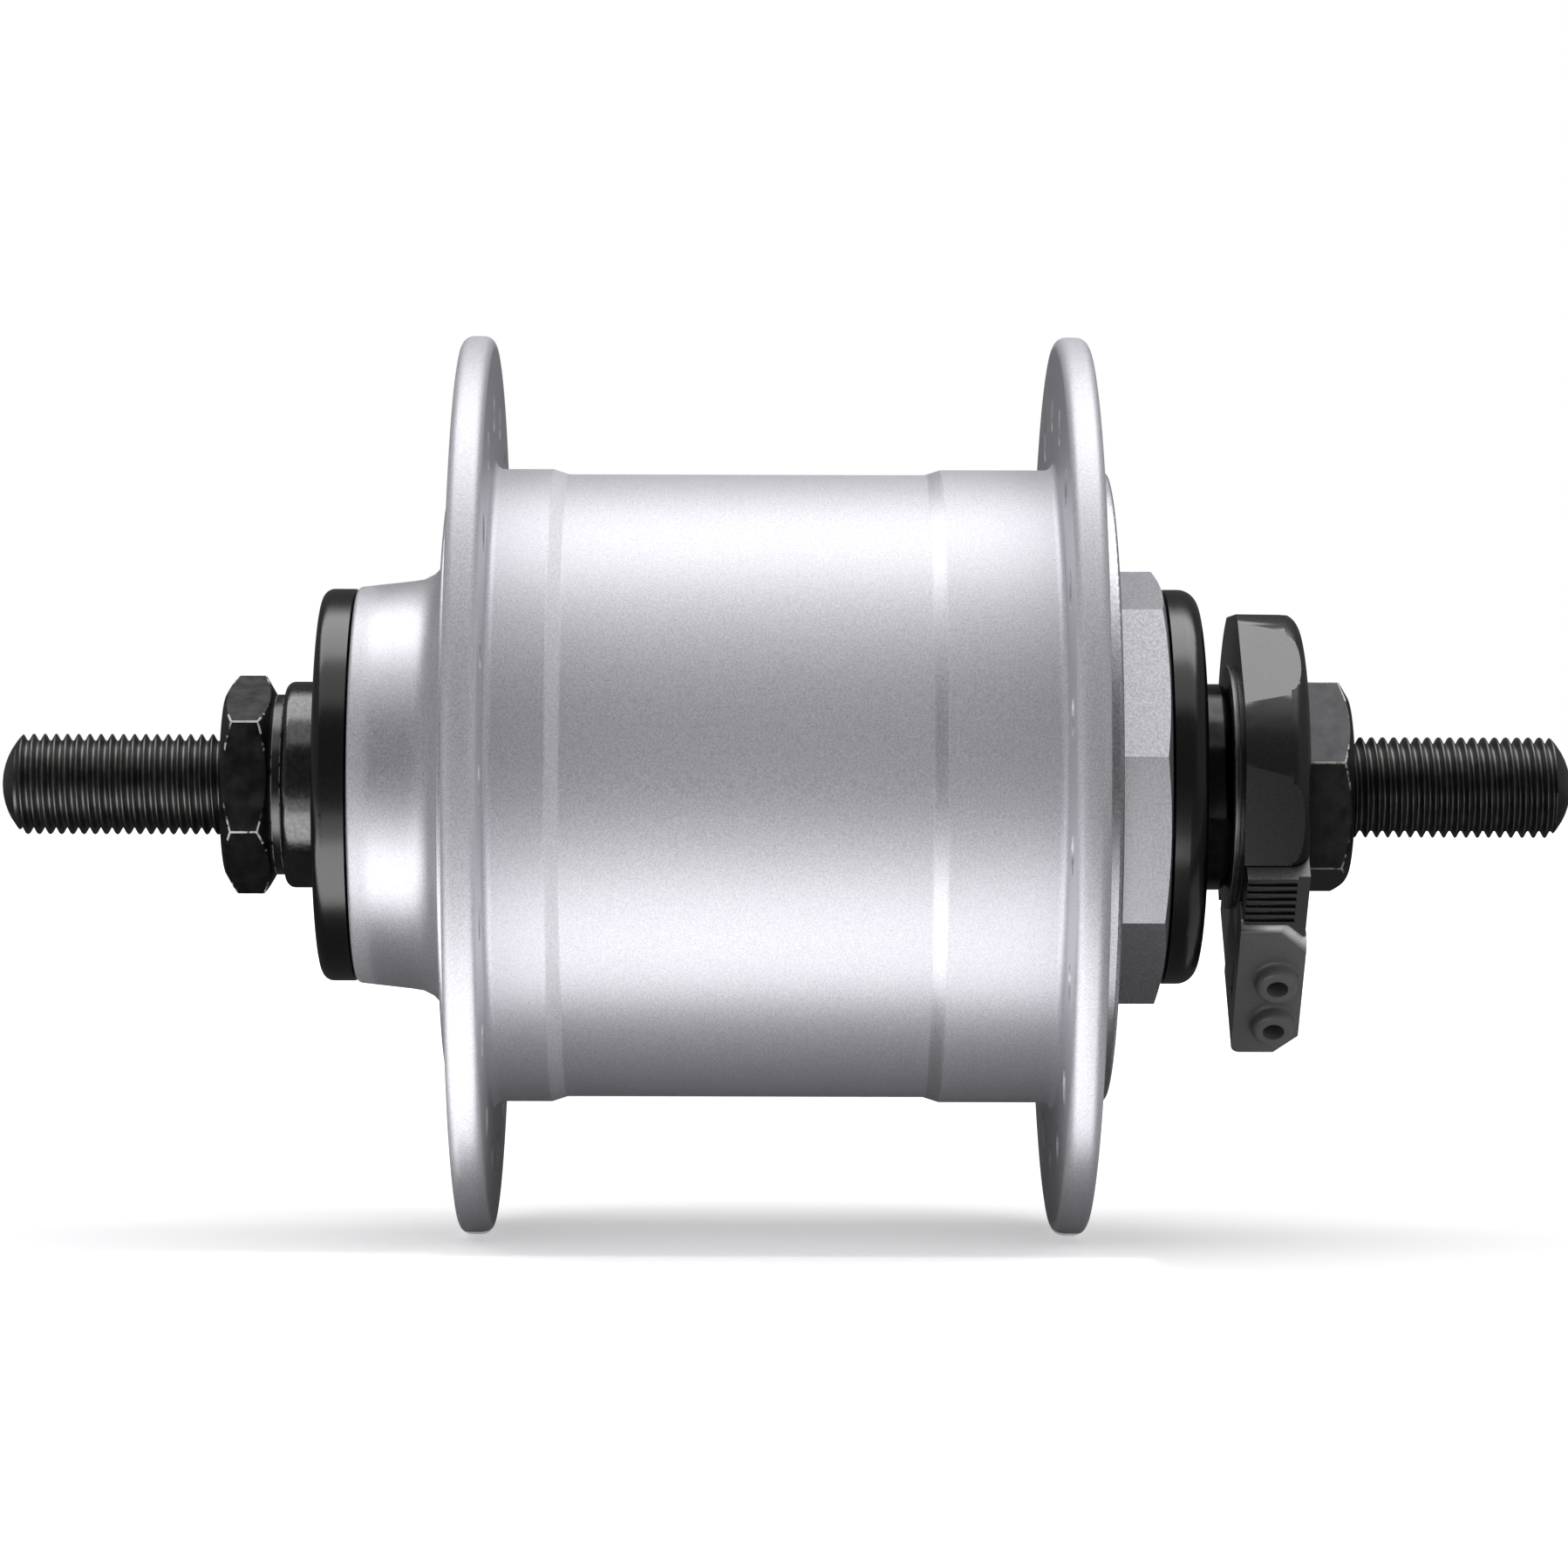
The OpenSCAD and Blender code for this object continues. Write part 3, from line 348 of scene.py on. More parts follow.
def finish(name, shades, metallic, gloss, grain_mm, depth_mm, detail=2.0, **inputs):
    """A finish whose grain shows in its shade, its gloss and its relief."""
    made, tree, shader = material(name, shades[0], metallic, gloss[0], **inputs)
    place = add(tree, "ShaderNodeTexCoord").outputs["Object"]
    grain = add(tree, "ShaderNodeTexNoise", {"Vector": place, "Scale": per_mm(grain_mm),
                                             "Detail": detail}).outputs["Fac"]
    share = add(tree, "ShaderNodeMapRange", {
        "Value": grain, "From Min": usual_noise[0], "From Max": usual_noise[1]}).outputs["Result"]
    shade = add(tree, "ShaderNodeMix", {"Factor": share, "A": paint(shades[0]),
                                        "B": paint(shades[1])}, data_type="RGBA")
    dull = add(tree, "ShaderNodeMapRange", {"Value": share, "To Min": gloss[0],
                                            "To Max": gloss[1]})
    relief = add(tree, "ShaderNodeBump", {"Height": grain, "Distance": depth_mm * MM})
    for socket, output in (("Base Color", shade.outputs["Result"]),
                           ("Roughness", dull.outputs["Result"]),
                           ("Normal", relief.outputs["Normal"])):
        tree.links.new(output, shader.inputs[socket])
    return made


def fed_by(surface, socket):
    """The material's nodes, its shader, and what now feeds a socket of the shader."""
    shader = surface.node_tree.nodes["Principled BSDF"]
    return surface.node_tree, shader, shader.inputs[socket].links[0].from_socket


print("a grain of 0.2 mm has the scale", per_mm(0.2))

# %% [markdown]
# ### Silver shell
# The shell is forged aluminium, turned, blasted very finely and clear anodised. The clear
# oxide scatters part of the light before the metal mirrors the rest, so the shader is only
# partly metallic, which gives a satin silver with soft broad reflections and a fine sparkle.
# The flanges' flanks mirror more than the barrel, and so does the nose beside the seal. The
# two steps of the barrel's bands differ a little, and the lathe's faint rings show under the
# blasting.

# %% Anodised aluminium
barrel_metallic = 0.58
shell_silver = finish("anodised_turned_aluminium", ("#BDBCC2", "#DBDAE0"), barrel_metallic,
                      (0.42, 0.50), 0.16, 0.003)
tree, shader, dull = fed_by(shell_silver, "Roughness")
at = add(tree, "ShaderNodeTexCoord").outputs["Object"]
place = add(tree, "ShaderNodeSeparateXYZ", {"Vector": at}).outputs
rings = add(tree, "ShaderNodeTexNoise", {"W": place["Y"], "Scale": per_mm(0.22), "Detail": 3.0},
            noise_dimensions="1D").outputs["Fac"]
flat_to_axle = add(tree, "ShaderNodeVectorMath", {0: at, 1: (1, 0, 1)}, operation="MULTIPLY")
from_axle = add(tree, "ShaderNodeVectorMath", {0: flat_to_axle.outputs[0]},
                operation="LENGTH").outputs["Value"]


def within(value, middle, half, blur):
    """1 where a value lies within half of a middle, in mm, and 0 past its blurred edge."""
    off = add(tree, "ShaderNodeMath", {0: value, 1: middle * MM}, operation="SUBTRACT")
    apart = add(tree, "ShaderNodeMath", {0: off.outputs[0]}, operation="ABSOLUTE")
    return add(tree, "ShaderNodeMapRange", {
        "Value": apart.outputs[0], "From Min": (half + blur) * MM,
        "From Max": half * MM}).outputs["Result"]


on_flange = within(from_axle, 33.9, 4.9, 0.5)
on_step = within(from_axle, 27.975, 0.16, 0.05)
on_nose = within(place["Y"], 33.0, 3.0, 1.0)
# The two steps face opposite ways, so what one gains the other loses.
side = add(tree, "ShaderNodeMath", {0: place["Y"]}, operation="SIGN").outputs[0]
on_step = add(tree, "ShaderNodeMath", {0: on_step, 1: side}, operation="MULTIPLY").outputs[0]
metal = barrel_metallic
for share, more in ((on_flange, 0.40), (on_nose, 0.20), (on_step, -0.20)):
    metal = add(tree, "ShaderNodeMath", {0: share, 1: more, 2: metal},
                operation="MULTIPLY_ADD").outputs[0]
for share, more in ((rings, 0.06), (on_nose, -0.05), (on_step, 0.05)):
    dull = add(tree, "ShaderNodeMath", {0: share, 1: more, 2: dull},
               operation="MULTIPLY_ADD").outputs[0]
tree.links.new(metal, shader.inputs["Metallic"])
tree.links.new(dull, shader.inputs["Roughness"])

# The end cap is blasted more coarsely, and its flats are flat grey mirrors with a grain.
cap_silver = finish("blasted_aluminium", ("#C0BFC5", "#E6E5EB"), 0.96, (0.38, 0.46), 0.22, 0.010)
print("nodes of the shell's finish:", len(tree.nodes))

# %% [markdown]
# ### Black steel
# The axle and the nuts are steel with a black oxide finish. It is a thin conversion layer,
# so it takes the gloss of the steel below, and it rubs off to bright metal on edges and
# corners. The pieces carry a `wear` attribute that is 1 on rounded edges and 0 elsewhere,
# and noise breaks it up so that the bright places look chipped.


# %% Black oxide with worn edges
worn_from, worn_to = 0.86, 0.98
worn_dulling = 0.45


def oxide(name, shades, bare, gloss, grain_mm=1.3, detail=6.0):
    """Black oxide over steel, rubbed bright and dull where the wear is high."""
    made = finish(name, shades, 1.0, gloss, grain_mm, 0.004, detail=detail)
    tree, shader, skin = fed_by(made, "Base Color")
    dull = fed_by(made, "Roughness")[2]
    edge = add(tree, "ShaderNodeAttribute", attribute_name="wear").outputs["Fac"]
    place = add(tree, "ShaderNodeTexCoord").outputs["Object"]
    flaws = add(tree, "ShaderNodeTexNoise", {"Vector": place, "Scale": per_mm(0.7),
                                             "Detail": 5.0}).outputs["Fac"]
    wear_and_painted_highlight = add(tree, "ShaderNodeMath", {0: edge, 1: 0.5, 2: flaws}, operation="MULTIPLY_ADD")
    worn = add(tree, "ShaderNodeMapRange", {
        "Value": wear_and_painted_highlight.outputs[0], "From Min": worn_from, "From Max": worn_to}).outputs["Result"]
    shade = add(tree, "ShaderNodeMix", {"Factor": worn, "A": skin, "B": paint(bare)},
                data_type="RGBA").outputs["Result"]
    rougher = add(tree, "ShaderNodeMath", {0: worn, 1: worn_dulling, 2: dull},
                  operation="MULTIPLY_ADD")
    tree.links.new(shade, shader.inputs["Base Color"])
    tree.links.new(rougher.outputs[0], shader.inputs["Roughness"])
    return made


worn_steel = "#A5A29E"
# Satin and nearly black, with pale chipped lines on the hexagon's edges.
nut_black = oxide("black_oxide_steel", ("#38383A", "#4C4C4D"), "#E4E1DC", (0.32, 0.44))
# Rolling burnishes the thread, so its crests draw thin lines of light.
thread_black = oxide("rolled_black_thread", ("#5A5959", "#6C6B6A"), "#8A8885", (0.32, 0.42))
# Ground and glossy steel, grey on the left cone. The right cone is the same steel, given a darker
# copy that is nearly black: painted shade.
cone_dark = oxide("hardened_bearing_steel", ("#565657", "#6A6A6A"), worn_steel, (0.17, 0.24),
                  grain_mm=0.35, detail=3.0)
cone_steel_painted_darker = oxide("bearing_steel_painted_darker", ("#2C2C2D", "#3C3C3D"), worn_steel, (0.13, 0.20))
# Flat-ground washers, a little duller than the cones, and the right one plated.
spacer_dark = oxide("ground_black_steel", ("#4C4C4C", "#5C5C5C"), worn_steel, (0.22, 0.30))
washer_steel = oxide("plated_steel", ("#6E6E70", "#838385"), worn_steel, (0.30, 0.38))
print("black steels:", [m.name for m in (nut_black, thread_black, cone_dark, cone_steel_painted_darker)])

# %% [markdown]
# ### Rubber and plastic
# The seals are moulded rubber with a soft sheen. The connector is black glass-filled
# plastic from a spark-eroded mould, so it has a fine even texture, and its cover is a
# smoother grey one. The cover also carries a painted highlight. An attribute is up to 1
# on the upward faces of its upper edge, where the grey is mixed towards near white in place
# of the lamp's light, and 0 elsewhere.

# %% Mouldings
seal_black = finish("moulded_rubber", ("#050505", "#0A0A0A"), 0.0, (0.20, 0.26), 0.22, 0.003,
                    IOR=1.75)
body_black = finish("spark_textured_plastic", ("#080808", "#0E0E0E"), 0.0, (0.26, 0.33), 0.18,
                    0.003, IOR=1.88)
cover_grey = finish("satin_grey_plastic", ("#585858", "#606060"), 0.0, (0.40, 0.46), 0.25, 0.003,
                    IOR=1.7)
# Painted highlight: where the attribute is up, the grey is mixed towards near white, in place of
# the overhead lamp's light on the cover's upper edge.
tree, shader, shade = fed_by(cover_grey, "Base Color")
wear_and_painted_highlight = add(tree, "ShaderNodeAttribute", attribute_name="wear_and_painted_highlight").outputs["Fac"]
light = add(tree, "ShaderNodeMix", {"Factor": wear_and_painted_highlight, "A": shade, "B": paint("#F6F6F6")},
            data_type="RGBA").outputs["Result"]
tree.links.new(light, shader.inputs["Base Color"])

# Inside: a pale bobbin that the copper shows well on, and a red lead.
bobbin_ivory = finish("moulded_bobbin", ("#CFC9B8", "#D8D2C2"), 0.0, (0.46, 0.54), 0.30, 0.004)
wire_red = finish("wire_insulation", ("#8E1512", "#9A1A16"), 0.0, (0.26, 0.34), 0.40, 0.002)
print("mouldings:", [m.name for m in (seal_black, body_black, cover_grey, bobbin_ivory, wire_red)])

# %% [markdown]
# ### Metals inside
# The generator and the bearings are hidden in the closed shell, and they are still
# finished, because the part can be taken apart: ground steel races, stamped claw plates,
# sintered magnets, enamelled copper and brass.

# %% Inner metals
bearing_bright = finish("polished_bearing_steel", ("#B8B7B8", "#C6C5C6"), 1.0, (0.10, 0.18),
                        0.6, 0.001)
pole_steel = finish("stamped_electrical_steel", ("#7A7C80", "#8C8E91"), 1.0, (0.36, 0.48),
                    0.5, 0.004)
magnet_grey = finish("sintered_ferrite", ("#2A2A2C", "#3A3A3C"), 0.0, (0.56, 0.68), 0.25, 0.006)
copper = finish("enamelled_copper", ("#8A3E1E", "#A9552B"), 1.0, (0.22, 0.34), 0.4, 0.004)
brass = finish("rolled_brass", ("#B48A45", "#C79C55"), 1.0, (0.22, 0.32), 0.4, 0.002)
print("inner metals:", [m.name for m in (bearing_bright, pole_steel, magnet_grey, copper, brass)])

# %% [markdown]
# ### Which piece gets which finish
# The frame's record names a material slot for each piece. Pieces that the steps below make
# anew get their own finish there.

# %% Finish of each piece
sharp_from = 30
finish_of_slot = {
    "shell_aluminium": shell_silver, "cap_aluminium": cap_silver, "black_steel": nut_black,
    "cone_steel": cone_dark, "bearing_steel": bearing_bright, "electrical_steel": pole_steel,
    "magnet_ferrite": magnet_grey, "seal_rubber": seal_black, "black_plastic": body_black,
    "grey_plastic": cover_grey, "bobbin_plastic": bobbin_ivory, "cage_brass": brass,
    "copper_wire": copper, "contact_brass": brass, "wire_insulation": wire_red}
slot_of_node = {part["node"]: part["material_slot"] for part in frame["record"]["subparts"]}
for node, piece in frame["nodes"].items():
    piece.data.materials.clear()
    piece.data.materials.append(finish_of_slot[slot_of_node[node]])
    piece.data.shade_smooth()
    piece.data.set_sharp_from_angle(angle=math.radians(sharp_from))
print("finishes given:", len(frame["nodes"]))

# %% [markdown]
# ## Tools for the shapes
# Turned pieces come from a profile that is spun round the axle, with a small radius on each
# corner, as any real turned edge has. Milled and moulded pieces start from a copy of the
# frame's own solid, so they fit exactly, and get their broken edges as a bevel. Repeated
# things, such as thread turns and spoke holes, are grown by geometry nodes.


# %% Turned pieces
def rounded(corners, steps=5):
    """A closed profile of (radius, station, corner radius) in mm, with its corners rounded."""
    points = []
    for i, (r, at, size) in enumerate(corners):
        here = Vector((r, at))
        if size <= 0:
            points.append(here)
            continue
        before = (Vector(corners[i - 1][:2]) - here).normalized()
        after = (Vector(corners[(i + 1) % len(corners)][:2]) - here).normalized()
        half = before.angle(after) / 2
        reach = size / math.tan(half)
        centre = here + (before + after).normalized() * size / math.sin(half)
        first = here + before * reach - centre
        last = here + after * reach - centre
        sweep = first.angle_signed(last)
        for k in range(steps + 1):
            turn = Matrix.Rotation(-sweep * k / steps, 2)
            points.append(centre + turn @ first)
    return points


def on_axle(r, angle, at):
    """Point at a radius and a station in mm. Angle 0 is +X and a quarter turn is up."""
    return Vector((r * math.cos(angle), -at, r * math.sin(angle))) * MM


def new_piece(name, mesh, surface, smooth=sharp_from):
    """An object for a finished mesh, shaded smooth except at sharp edges."""
    piece = bpy.data.objects.new(name, mesh)
    scene.collection.objects.link(piece)
    mesh.materials.clear()
    mesh.materials.append(surface)
    mesh.shade_smooth()
    mesh.set_sharp_from_angle(angle=math.radians(smooth))
    return piece


def lathe(name, profile_at, segments, first=0.0):
    """Mesh of a closed profile spun round the axle, which may change from segment to segment."""
    shape = bmesh.new()
    rings = [[shape.verts.new(on_axle(p.x, first + math.tau * k / segments, p.y))
              for p in profile_at(k)] for k in range(segments)]
    for k, ring in enumerate(rings):
        following = rings[(k + 1) % segments]
        for i in range(len(ring)):
            j = (i + 1) % len(ring)
            shape.faces.new((ring[i], ring[j], following[j], following[i]))
    bmesh.ops.remove_doubles(shape, verts=shape.verts, dist=1e-7)
    bmesh.ops.recalc_face_normals(shape, faces=shape.faces)
    mesh = bpy.data.meshes.new(name)
    shape.to_mesh(mesh)
    shape.free()
    return mesh


square = [(1, 1, 0.2), (2, 1, 0.2), (2, 2, 0.2), (1, 2, 0.2)]
print("points of a square with rounded corners:", len(rounded(square)))


# %% Copies of the frame's pieces
def solid_copy(node):
    """The frame's mesh of a piece, merged into closed flat faces, in bmesh."""
    shape = bmesh.new()
    shape.from_mesh(frame["nodes"][node].data)
    bmesh.ops.remove_doubles(shape, verts=shape.verts, dist=2e-6)
    bmesh.ops.dissolve_degenerate(shape, edges=shape.edges, dist=1e-6)
    flat = math.radians(0.5)
    bmesh.ops.dissolve_limit(shape, angle_limit=flat, verts=shape.verts, edges=shape.edges)
    return shape


def evened(mesh):
    """The mesh with shading that large faces lead, so that flats look flat up to their bevels."""
    holder = bpy.data.objects.new("holder", mesh)
    scene.collection.objects.link(holder)
    weighing = holder.modifiers.new("weighing", "WEIGHTED_NORMAL")
    weighing.mode = "FACE_AREA"
    weighing.weight = 100
    weighing.keep_sharp = True
    ready = holder.evaluated_get(bpy.context.evaluated_depsgraph_get())
    smoothed = bpy.data.meshes.new_from_object(ready)
    bpy.data.objects.remove(holder)
    return smoothed


def stand_for(piece, node):
    """Lets a piece take the place of a piece of the frame, on the same body."""
    body = next(b for b, nodes in frame["record"]["behaviour"]["bodies"].items() if node in nodes)
    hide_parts(node)
    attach(piece, body)


print("merged points of the cap:", len(solid_copy("plug_cap").verts))

# %% [markdown]
# ### Broken edges
# No real edge is sharp. Shading alone could round one to the eye, but not in the outline, so
# each gets a bevel. Its faces also carry the `wear`, which is full where a spanner or a bench
# would touch the piece first.

# %% Bevels and wear
soft_segments = 6
full_wear_share, wear_loss, least_wear = 0.98, 5, 0.3


def broken_edges(node, surface, width, soft=(), segments=3, least=28, crease=12, shape=None):
    """Stands for a piece of the frame, with its sharp edges bevelled and marked as worn.

    Soft gives (test, width) pairs: edges that pass a test get their own, wider rounding first,
    which short neighbours don't hold back. Least and crease are angles in degrees. Wear is full
    at the piece's greatest radius and falls to a third further in.
    """
    shape = shape or solid_copy(node)
    wear = shape.faces.layers.float.new("wear")
    rounds = [(test, size, soft_segments) for test, size in soft]
    for test, size, count in rounds + [(lambda edge: True, width, segments)]:
        sharp = [e for e in shape.edges
                 if e.is_manifold and e.calc_face_angle(0) > math.radians(least)
                 and not any(face[wear] > 0 for face in e.link_faces) and test(e)]
        made = bmesh.ops.bevel(shape, geom=sharp, offset=size * MM, segments=count,
                               profile=0.5, affect="EDGES", clamp_overlap=size == width)
        for face in made["faces"]:
            face[wear] = 1.0
    bmesh.ops.recalc_face_normals(shape, faces=shape.faces)
    for face in shape.faces:
        face.smooth = True
    for edge in shape.edges:
        of_bevel = any(face[wear] > 0 for face in edge.link_faces)
        edge.smooth = of_bevel or edge.calc_face_angle(0) < math.radians(crease)
    reach = max(vert.co.xz.length for vert in shape.verts)
    for face in shape.faces:
        share = face.calc_center_median().xz.length / reach
        face[wear] *= min(1.0, max(least_wear, 1 - wear_loss * (full_wear_share - share)))
    mesh = bpy.data.meshes.new(node + "_finished")
    shape.to_mesh(mesh)
    shape.free()
    mesh = evened(mesh)
    mesh.materials.clear()
    mesh.materials.append(surface)
    piece = bpy.data.objects.new(node + "_finished", mesh)
    scene.collection.objects.link(piece)
    stand_for(piece, node)
    print(node, "faces:", len(mesh.polygons))
    return piece


# %% [markdown]
# ### Grown pieces
# A tree has named inputs in millimetres, so one tree serves both ends of the axle and another
# both flanges. Its result is taken out as a plain mesh.

# %% Node trees that grow pieces
def new_tree(name, inputs, takes_mesh=False):
    """A geometry node tree with named inputs. Returns it with its input and output nodes."""
    tree = bpy.data.node_groups.new(name, "GeometryNodeTree")
    if takes_mesh:
        tree.interface.new_socket("Mesh", in_out="INPUT", socket_type="NodeSocketGeometry")
    for title, kind in inputs.items():
        tree.interface.new_socket(title, in_out="INPUT", socket_type="NodeSocket" + kind)
    tree.interface.new_socket("Mesh", in_out="OUTPUT", socket_type="NodeSocketGeometry")
    return tree, tree.nodes.new("NodeGroupInput"), tree.nodes.new("NodeGroupOutput")


def finish_tree(tree, geometry, surface, output):
    """Realizes what was grown and gives it its material."""
    real = add(tree, "GeometryNodeRealizeInstances", {"Geometry": geometry})
    dressed = add(tree, "GeometryNodeSetMaterial", {"Geometry": real.outputs[0],
                                                    "Material": surface})
    tree.links.new(dressed.outputs[0], output.inputs["Mesh"])


def grow(name, tree, values, mesh=None):
    """Runs a tree with the given inputs and returns the mesh that it makes."""
    piece = bpy.data.objects.new(name, mesh or bpy.data.meshes.new(name + "_seed"))
    scene.collection.objects.link(piece)
    modifier = piece.modifiers.new(name, "NODES")
    modifier.node_group = tree
    for item in tree.interface.items_tree:
        if item.in_out == "INPUT" and item.name in values:
            modifier[item.identifier] = values[item.name]
    ready = piece.evaluated_get(bpy.context.evaluated_depsgraph_get())
    grown = bpy.data.meshes.new_from_object(ready)
    piece.modifiers.remove(modifier)
    bpy.data.objects.remove(piece)
    return grown


# %% [markdown]
# ## Axle
# The axle is a steel rod with an M9 x 1 thread rolled on both ends. A rolled thread is one
# helical groove, so the tree lays a grid along the helix: one direction follows the turns and
# the other crosses one pitch, from a crest over the root to the next crest. The radius comes
# from the place within the pitch, cut off by the domed end. Neighbouring turns share their
# crest points, which are then merged. Relief in the material could draw the turns, but not
# their toothed outline against the white.

# %% Thread tree
thread_tree, given, result = new_tree("thread", {
    "Radius": "Float", "Depth": "Float", "Pitch": "Float", "Start": "Float",
    "Length": "Float", "Dome Radius": "Float", "Dome Centre": "Float", "Turns": "Int",
    "Points per Turn": "Int", "Rows": "Int"})
crest_flat, root_flat = 0.06, 0.10
grid_at = add(thread_tree, "ShaderNodeSeparateXYZ", {
    "Vector": add(thread_tree, "GeometryNodeInputPosition").outputs[0]}).outputs
known = {**dict(given.outputs.items()), "x": grid_at["X"], "y": grid_at["Y"]}
for name, operation, *terms in (
        ("steps along", "MULTIPLY", "Turns", "Points per Turn"),
        ("points along", "ADD", "steps along", 1),
        ("points across", "ADD", "Rows", 1),
        ("share along", "ADD", "x", 0.5),
        ("share across", "ADD", "y", 0.5),
        ("turn", "MULTIPLY", "share along", "Turns"),
        ("pitches past", "ADD", "turn", "share across"),
        ("pitches", "SUBTRACT", "pitches past", 1),
        ("free reach", "MULTIPLY", "pitches", "Pitch"),
        ("reach from start", "MAXIMUM", "free reach", 0),
        ("reach", "MINIMUM", "reach from start", "Length"),
        ("reach in pitches", "DIVIDE", "reach", "Pitch"),
        ("phase", "SUBTRACT", "reach in pitches", "turn"),
        ("share of pitch", "FRACT", "phase"),
        ("past root", "SUBTRACT", "share of pitch", 0.5),
        ("from root", "ABSOLUTE", "past root"),
        ("flank height", "SUBTRACT", "from root", root_flat),
        ("climb", "DIVIDE", "flank height", 0.5 - crest_flat - root_flat),
        ("climb from 0", "MAXIMUM", "climb", 0),
        ("climb to 1", "MINIMUM", "climb from 0", 1),
        ("sink", "SUBTRACT", 1, "climb to 1"),
        ("groove", "MULTIPLY", "sink", "Depth"),
        ("screw radius", "SUBTRACT", "Radius", "groove"),
        ("station", "ADD", "Start", "reach"),
        ("past dome centre", "SUBTRACT", "station", "Dome Centre"),
        ("into dome", "MAXIMUM", "past dome centre", 0),
        ("dome squared", "MULTIPLY", "Dome Radius", "Dome Radius"),
        ("into dome squared", "MULTIPLY", "into dome", "into dome"),
        ("left over", "SUBTRACT", "dome squared", "into dome squared"),
        ("dome radius here", "SQRT", "left over"),
        ("radius in mm", "MINIMUM", "screw radius", "dome radius here"),
        ("radius", "MULTIPLY", "radius in mm", MM),
        ("angle", "MULTIPLY", "turn", math.tau),
        ("cosine", "COSINE", "angle"),
        ("sine", "SINE", "angle"),
        ("across the view", "MULTIPLY", "radius", "cosine"),
        ("along the axle", "MULTIPLY", "station", -MM),
        ("up", "MULTIPLY", "radius", "sine")):
    inputs = {i: known.get(term, term) for i, term in enumerate(terms)}
    known[name] = add(thread_tree, "ShaderNodeMath", inputs, operation=operation).outputs[0]
grid = add(thread_tree, "GeometryNodeMeshGrid", {
    "Size X": 1.0, "Size Y": 1.0, "Vertices X": known["points along"],
    "Vertices Y": known["points across"]})
point = add(thread_tree, "ShaderNodeCombineXYZ", {
    "X": known["across the view"], "Y": known["along the axle"], "Z": known["up"]})
wound = add(thread_tree, "GeometryNodeSetPosition", {"Geometry": grid.outputs["Mesh"],
                                                     "Position": point.outputs[0]})
joined = add(thread_tree, "GeometryNodeMergeByDistance", {"Geometry": wound.outputs[0],
                                                          "Distance": 2e-6})
finish_tree(thread_tree, joined.outputs[0], thread_black, result)
print("thread tree nodes:", len(thread_tree.nodes))

# %% Axle from two threaded ends and its middle
axle_half = axle_ends[1]
thread_in = 47.0
dome_radius = 6.3
dome_centre = axle_half - dome_radius
dome_rings = 6
thread_size = {"Radius": 4.5, "Depth": 0.6, "Pitch": 1.0, "Start": thread_in, "Length": 21.7,
               "Dome Radius": dome_radius, "Dome Centre": dome_centre, "Turns": 23,
               "Points per Turn": 72, "Rows": 12}
threaded = grow("thread_end", thread_tree, thread_size)


def close_thread(shape):
    """Closes a thread's inner end with a face and its outer end with a dome."""
    open_edges = [e for e in shape.edges if e.is_boundary]
    inner = [e for e in open_edges if -e.verts[0].co.y / MM < thread_in + 1]
    ring = [e for e in open_edges if -e.verts[0].co.y / MM > thread_in + 1]
    bmesh.ops.edgeloop_fill(shape, edges=inner)
    start_r = ring[0].verts[0].co.xz.length / MM
    for k in range(1, dome_rings + 1):
        made = bmesh.ops.extrude_edge_only(shape, edges=ring)["geom"]
        r = start_r * (1 - k / dome_rings)
        height = dome_centre + math.sqrt(dome_radius ** 2 - r ** 2)
        for vert in (v for v in made if isinstance(v, bmesh.types.BMVert)):
            scale = r / (vert.co.xz.length / MM)
            vert.co = Vector((vert.co.x * scale, -height * MM, vert.co.z * scale))
        ring = [e for e in made if isinstance(e, bmesh.types.BMEdge)]
    bmesh.ops.remove_doubles(shape, verts=shape.verts, dist=1e-6)
    bmesh.ops.dissolve_degenerate(shape, edges=shape.edges, dist=1e-7)
    bmesh.ops.recalc_face_normals(shape, faces=shape.faces)


axle_shape = solid_copy("axle")
for side in (-1, 1):
    everything = axle_shape.verts[:] + axle_shape.edges[:] + axle_shape.faces[:]
    cut = bmesh.ops.bisect_plane(
        axle_shape, geom=everything, plane_co=(0, side * thread_in * MM, 0),
        plane_no=(0, side, 0), clear_outer=True)["geom_cut"]
    cut_edges = [e for e in cut if isinstance(e, bmesh.types.BMEdge)]
    bmesh.ops.edgeloop_fill(axle_shape, edges=cut_edges)
for side in (1, -1):
    end = bmesh.new()
    end.from_mesh(threaded)
    close_thread(end)
    if side < 0:
        bmesh.ops.rotate(end, verts=end.verts, cent=(0, 0, 0),
                         matrix=Matrix.Rotation(math.pi, 3, "Z"))
    part = bpy.data.meshes.new("axle_end")
    end.to_mesh(part)
    print("open edges at this end:", sum(e.is_boundary for e in end.edges))
    end.free()
    axle_shape.from_mesh(part)
axle_mesh = bpy.data.meshes.new("axle_threaded")
axle_shape.to_mesh(axle_mesh)
axle_shape.free()
stand_for(new_piece("axle_threaded", axle_mesh, thread_black, smooth=50), "axle")
print("axle faces:", len(axle_mesh.polygons))

# %% [markdown]
# ## Hub shell
# The shell is one forging, turned all over, with its spoke holes drilled and countersunk
# from both sides. Its profile is spun round the axle, with a small radius at every edge that
# the lathe tool would leave, and a tree then sets one cutter at each hole's place and drills
# the two flanges. The holes of one flange stand half a pitch from those of the other. The
# frame's own shell has the same sizes, but its facets would show in the satin bands.

# %% Drilling tree
drill_tree, given, result = new_tree("drill", {
    "Count": "Int", "Circle Radius": "Float", "First Turn": "Float", "Station": "Float",
    "Hole Radius": "Float", "Sink Radius": "Float", "Thickness": "Float"}, takes_mesh=True)
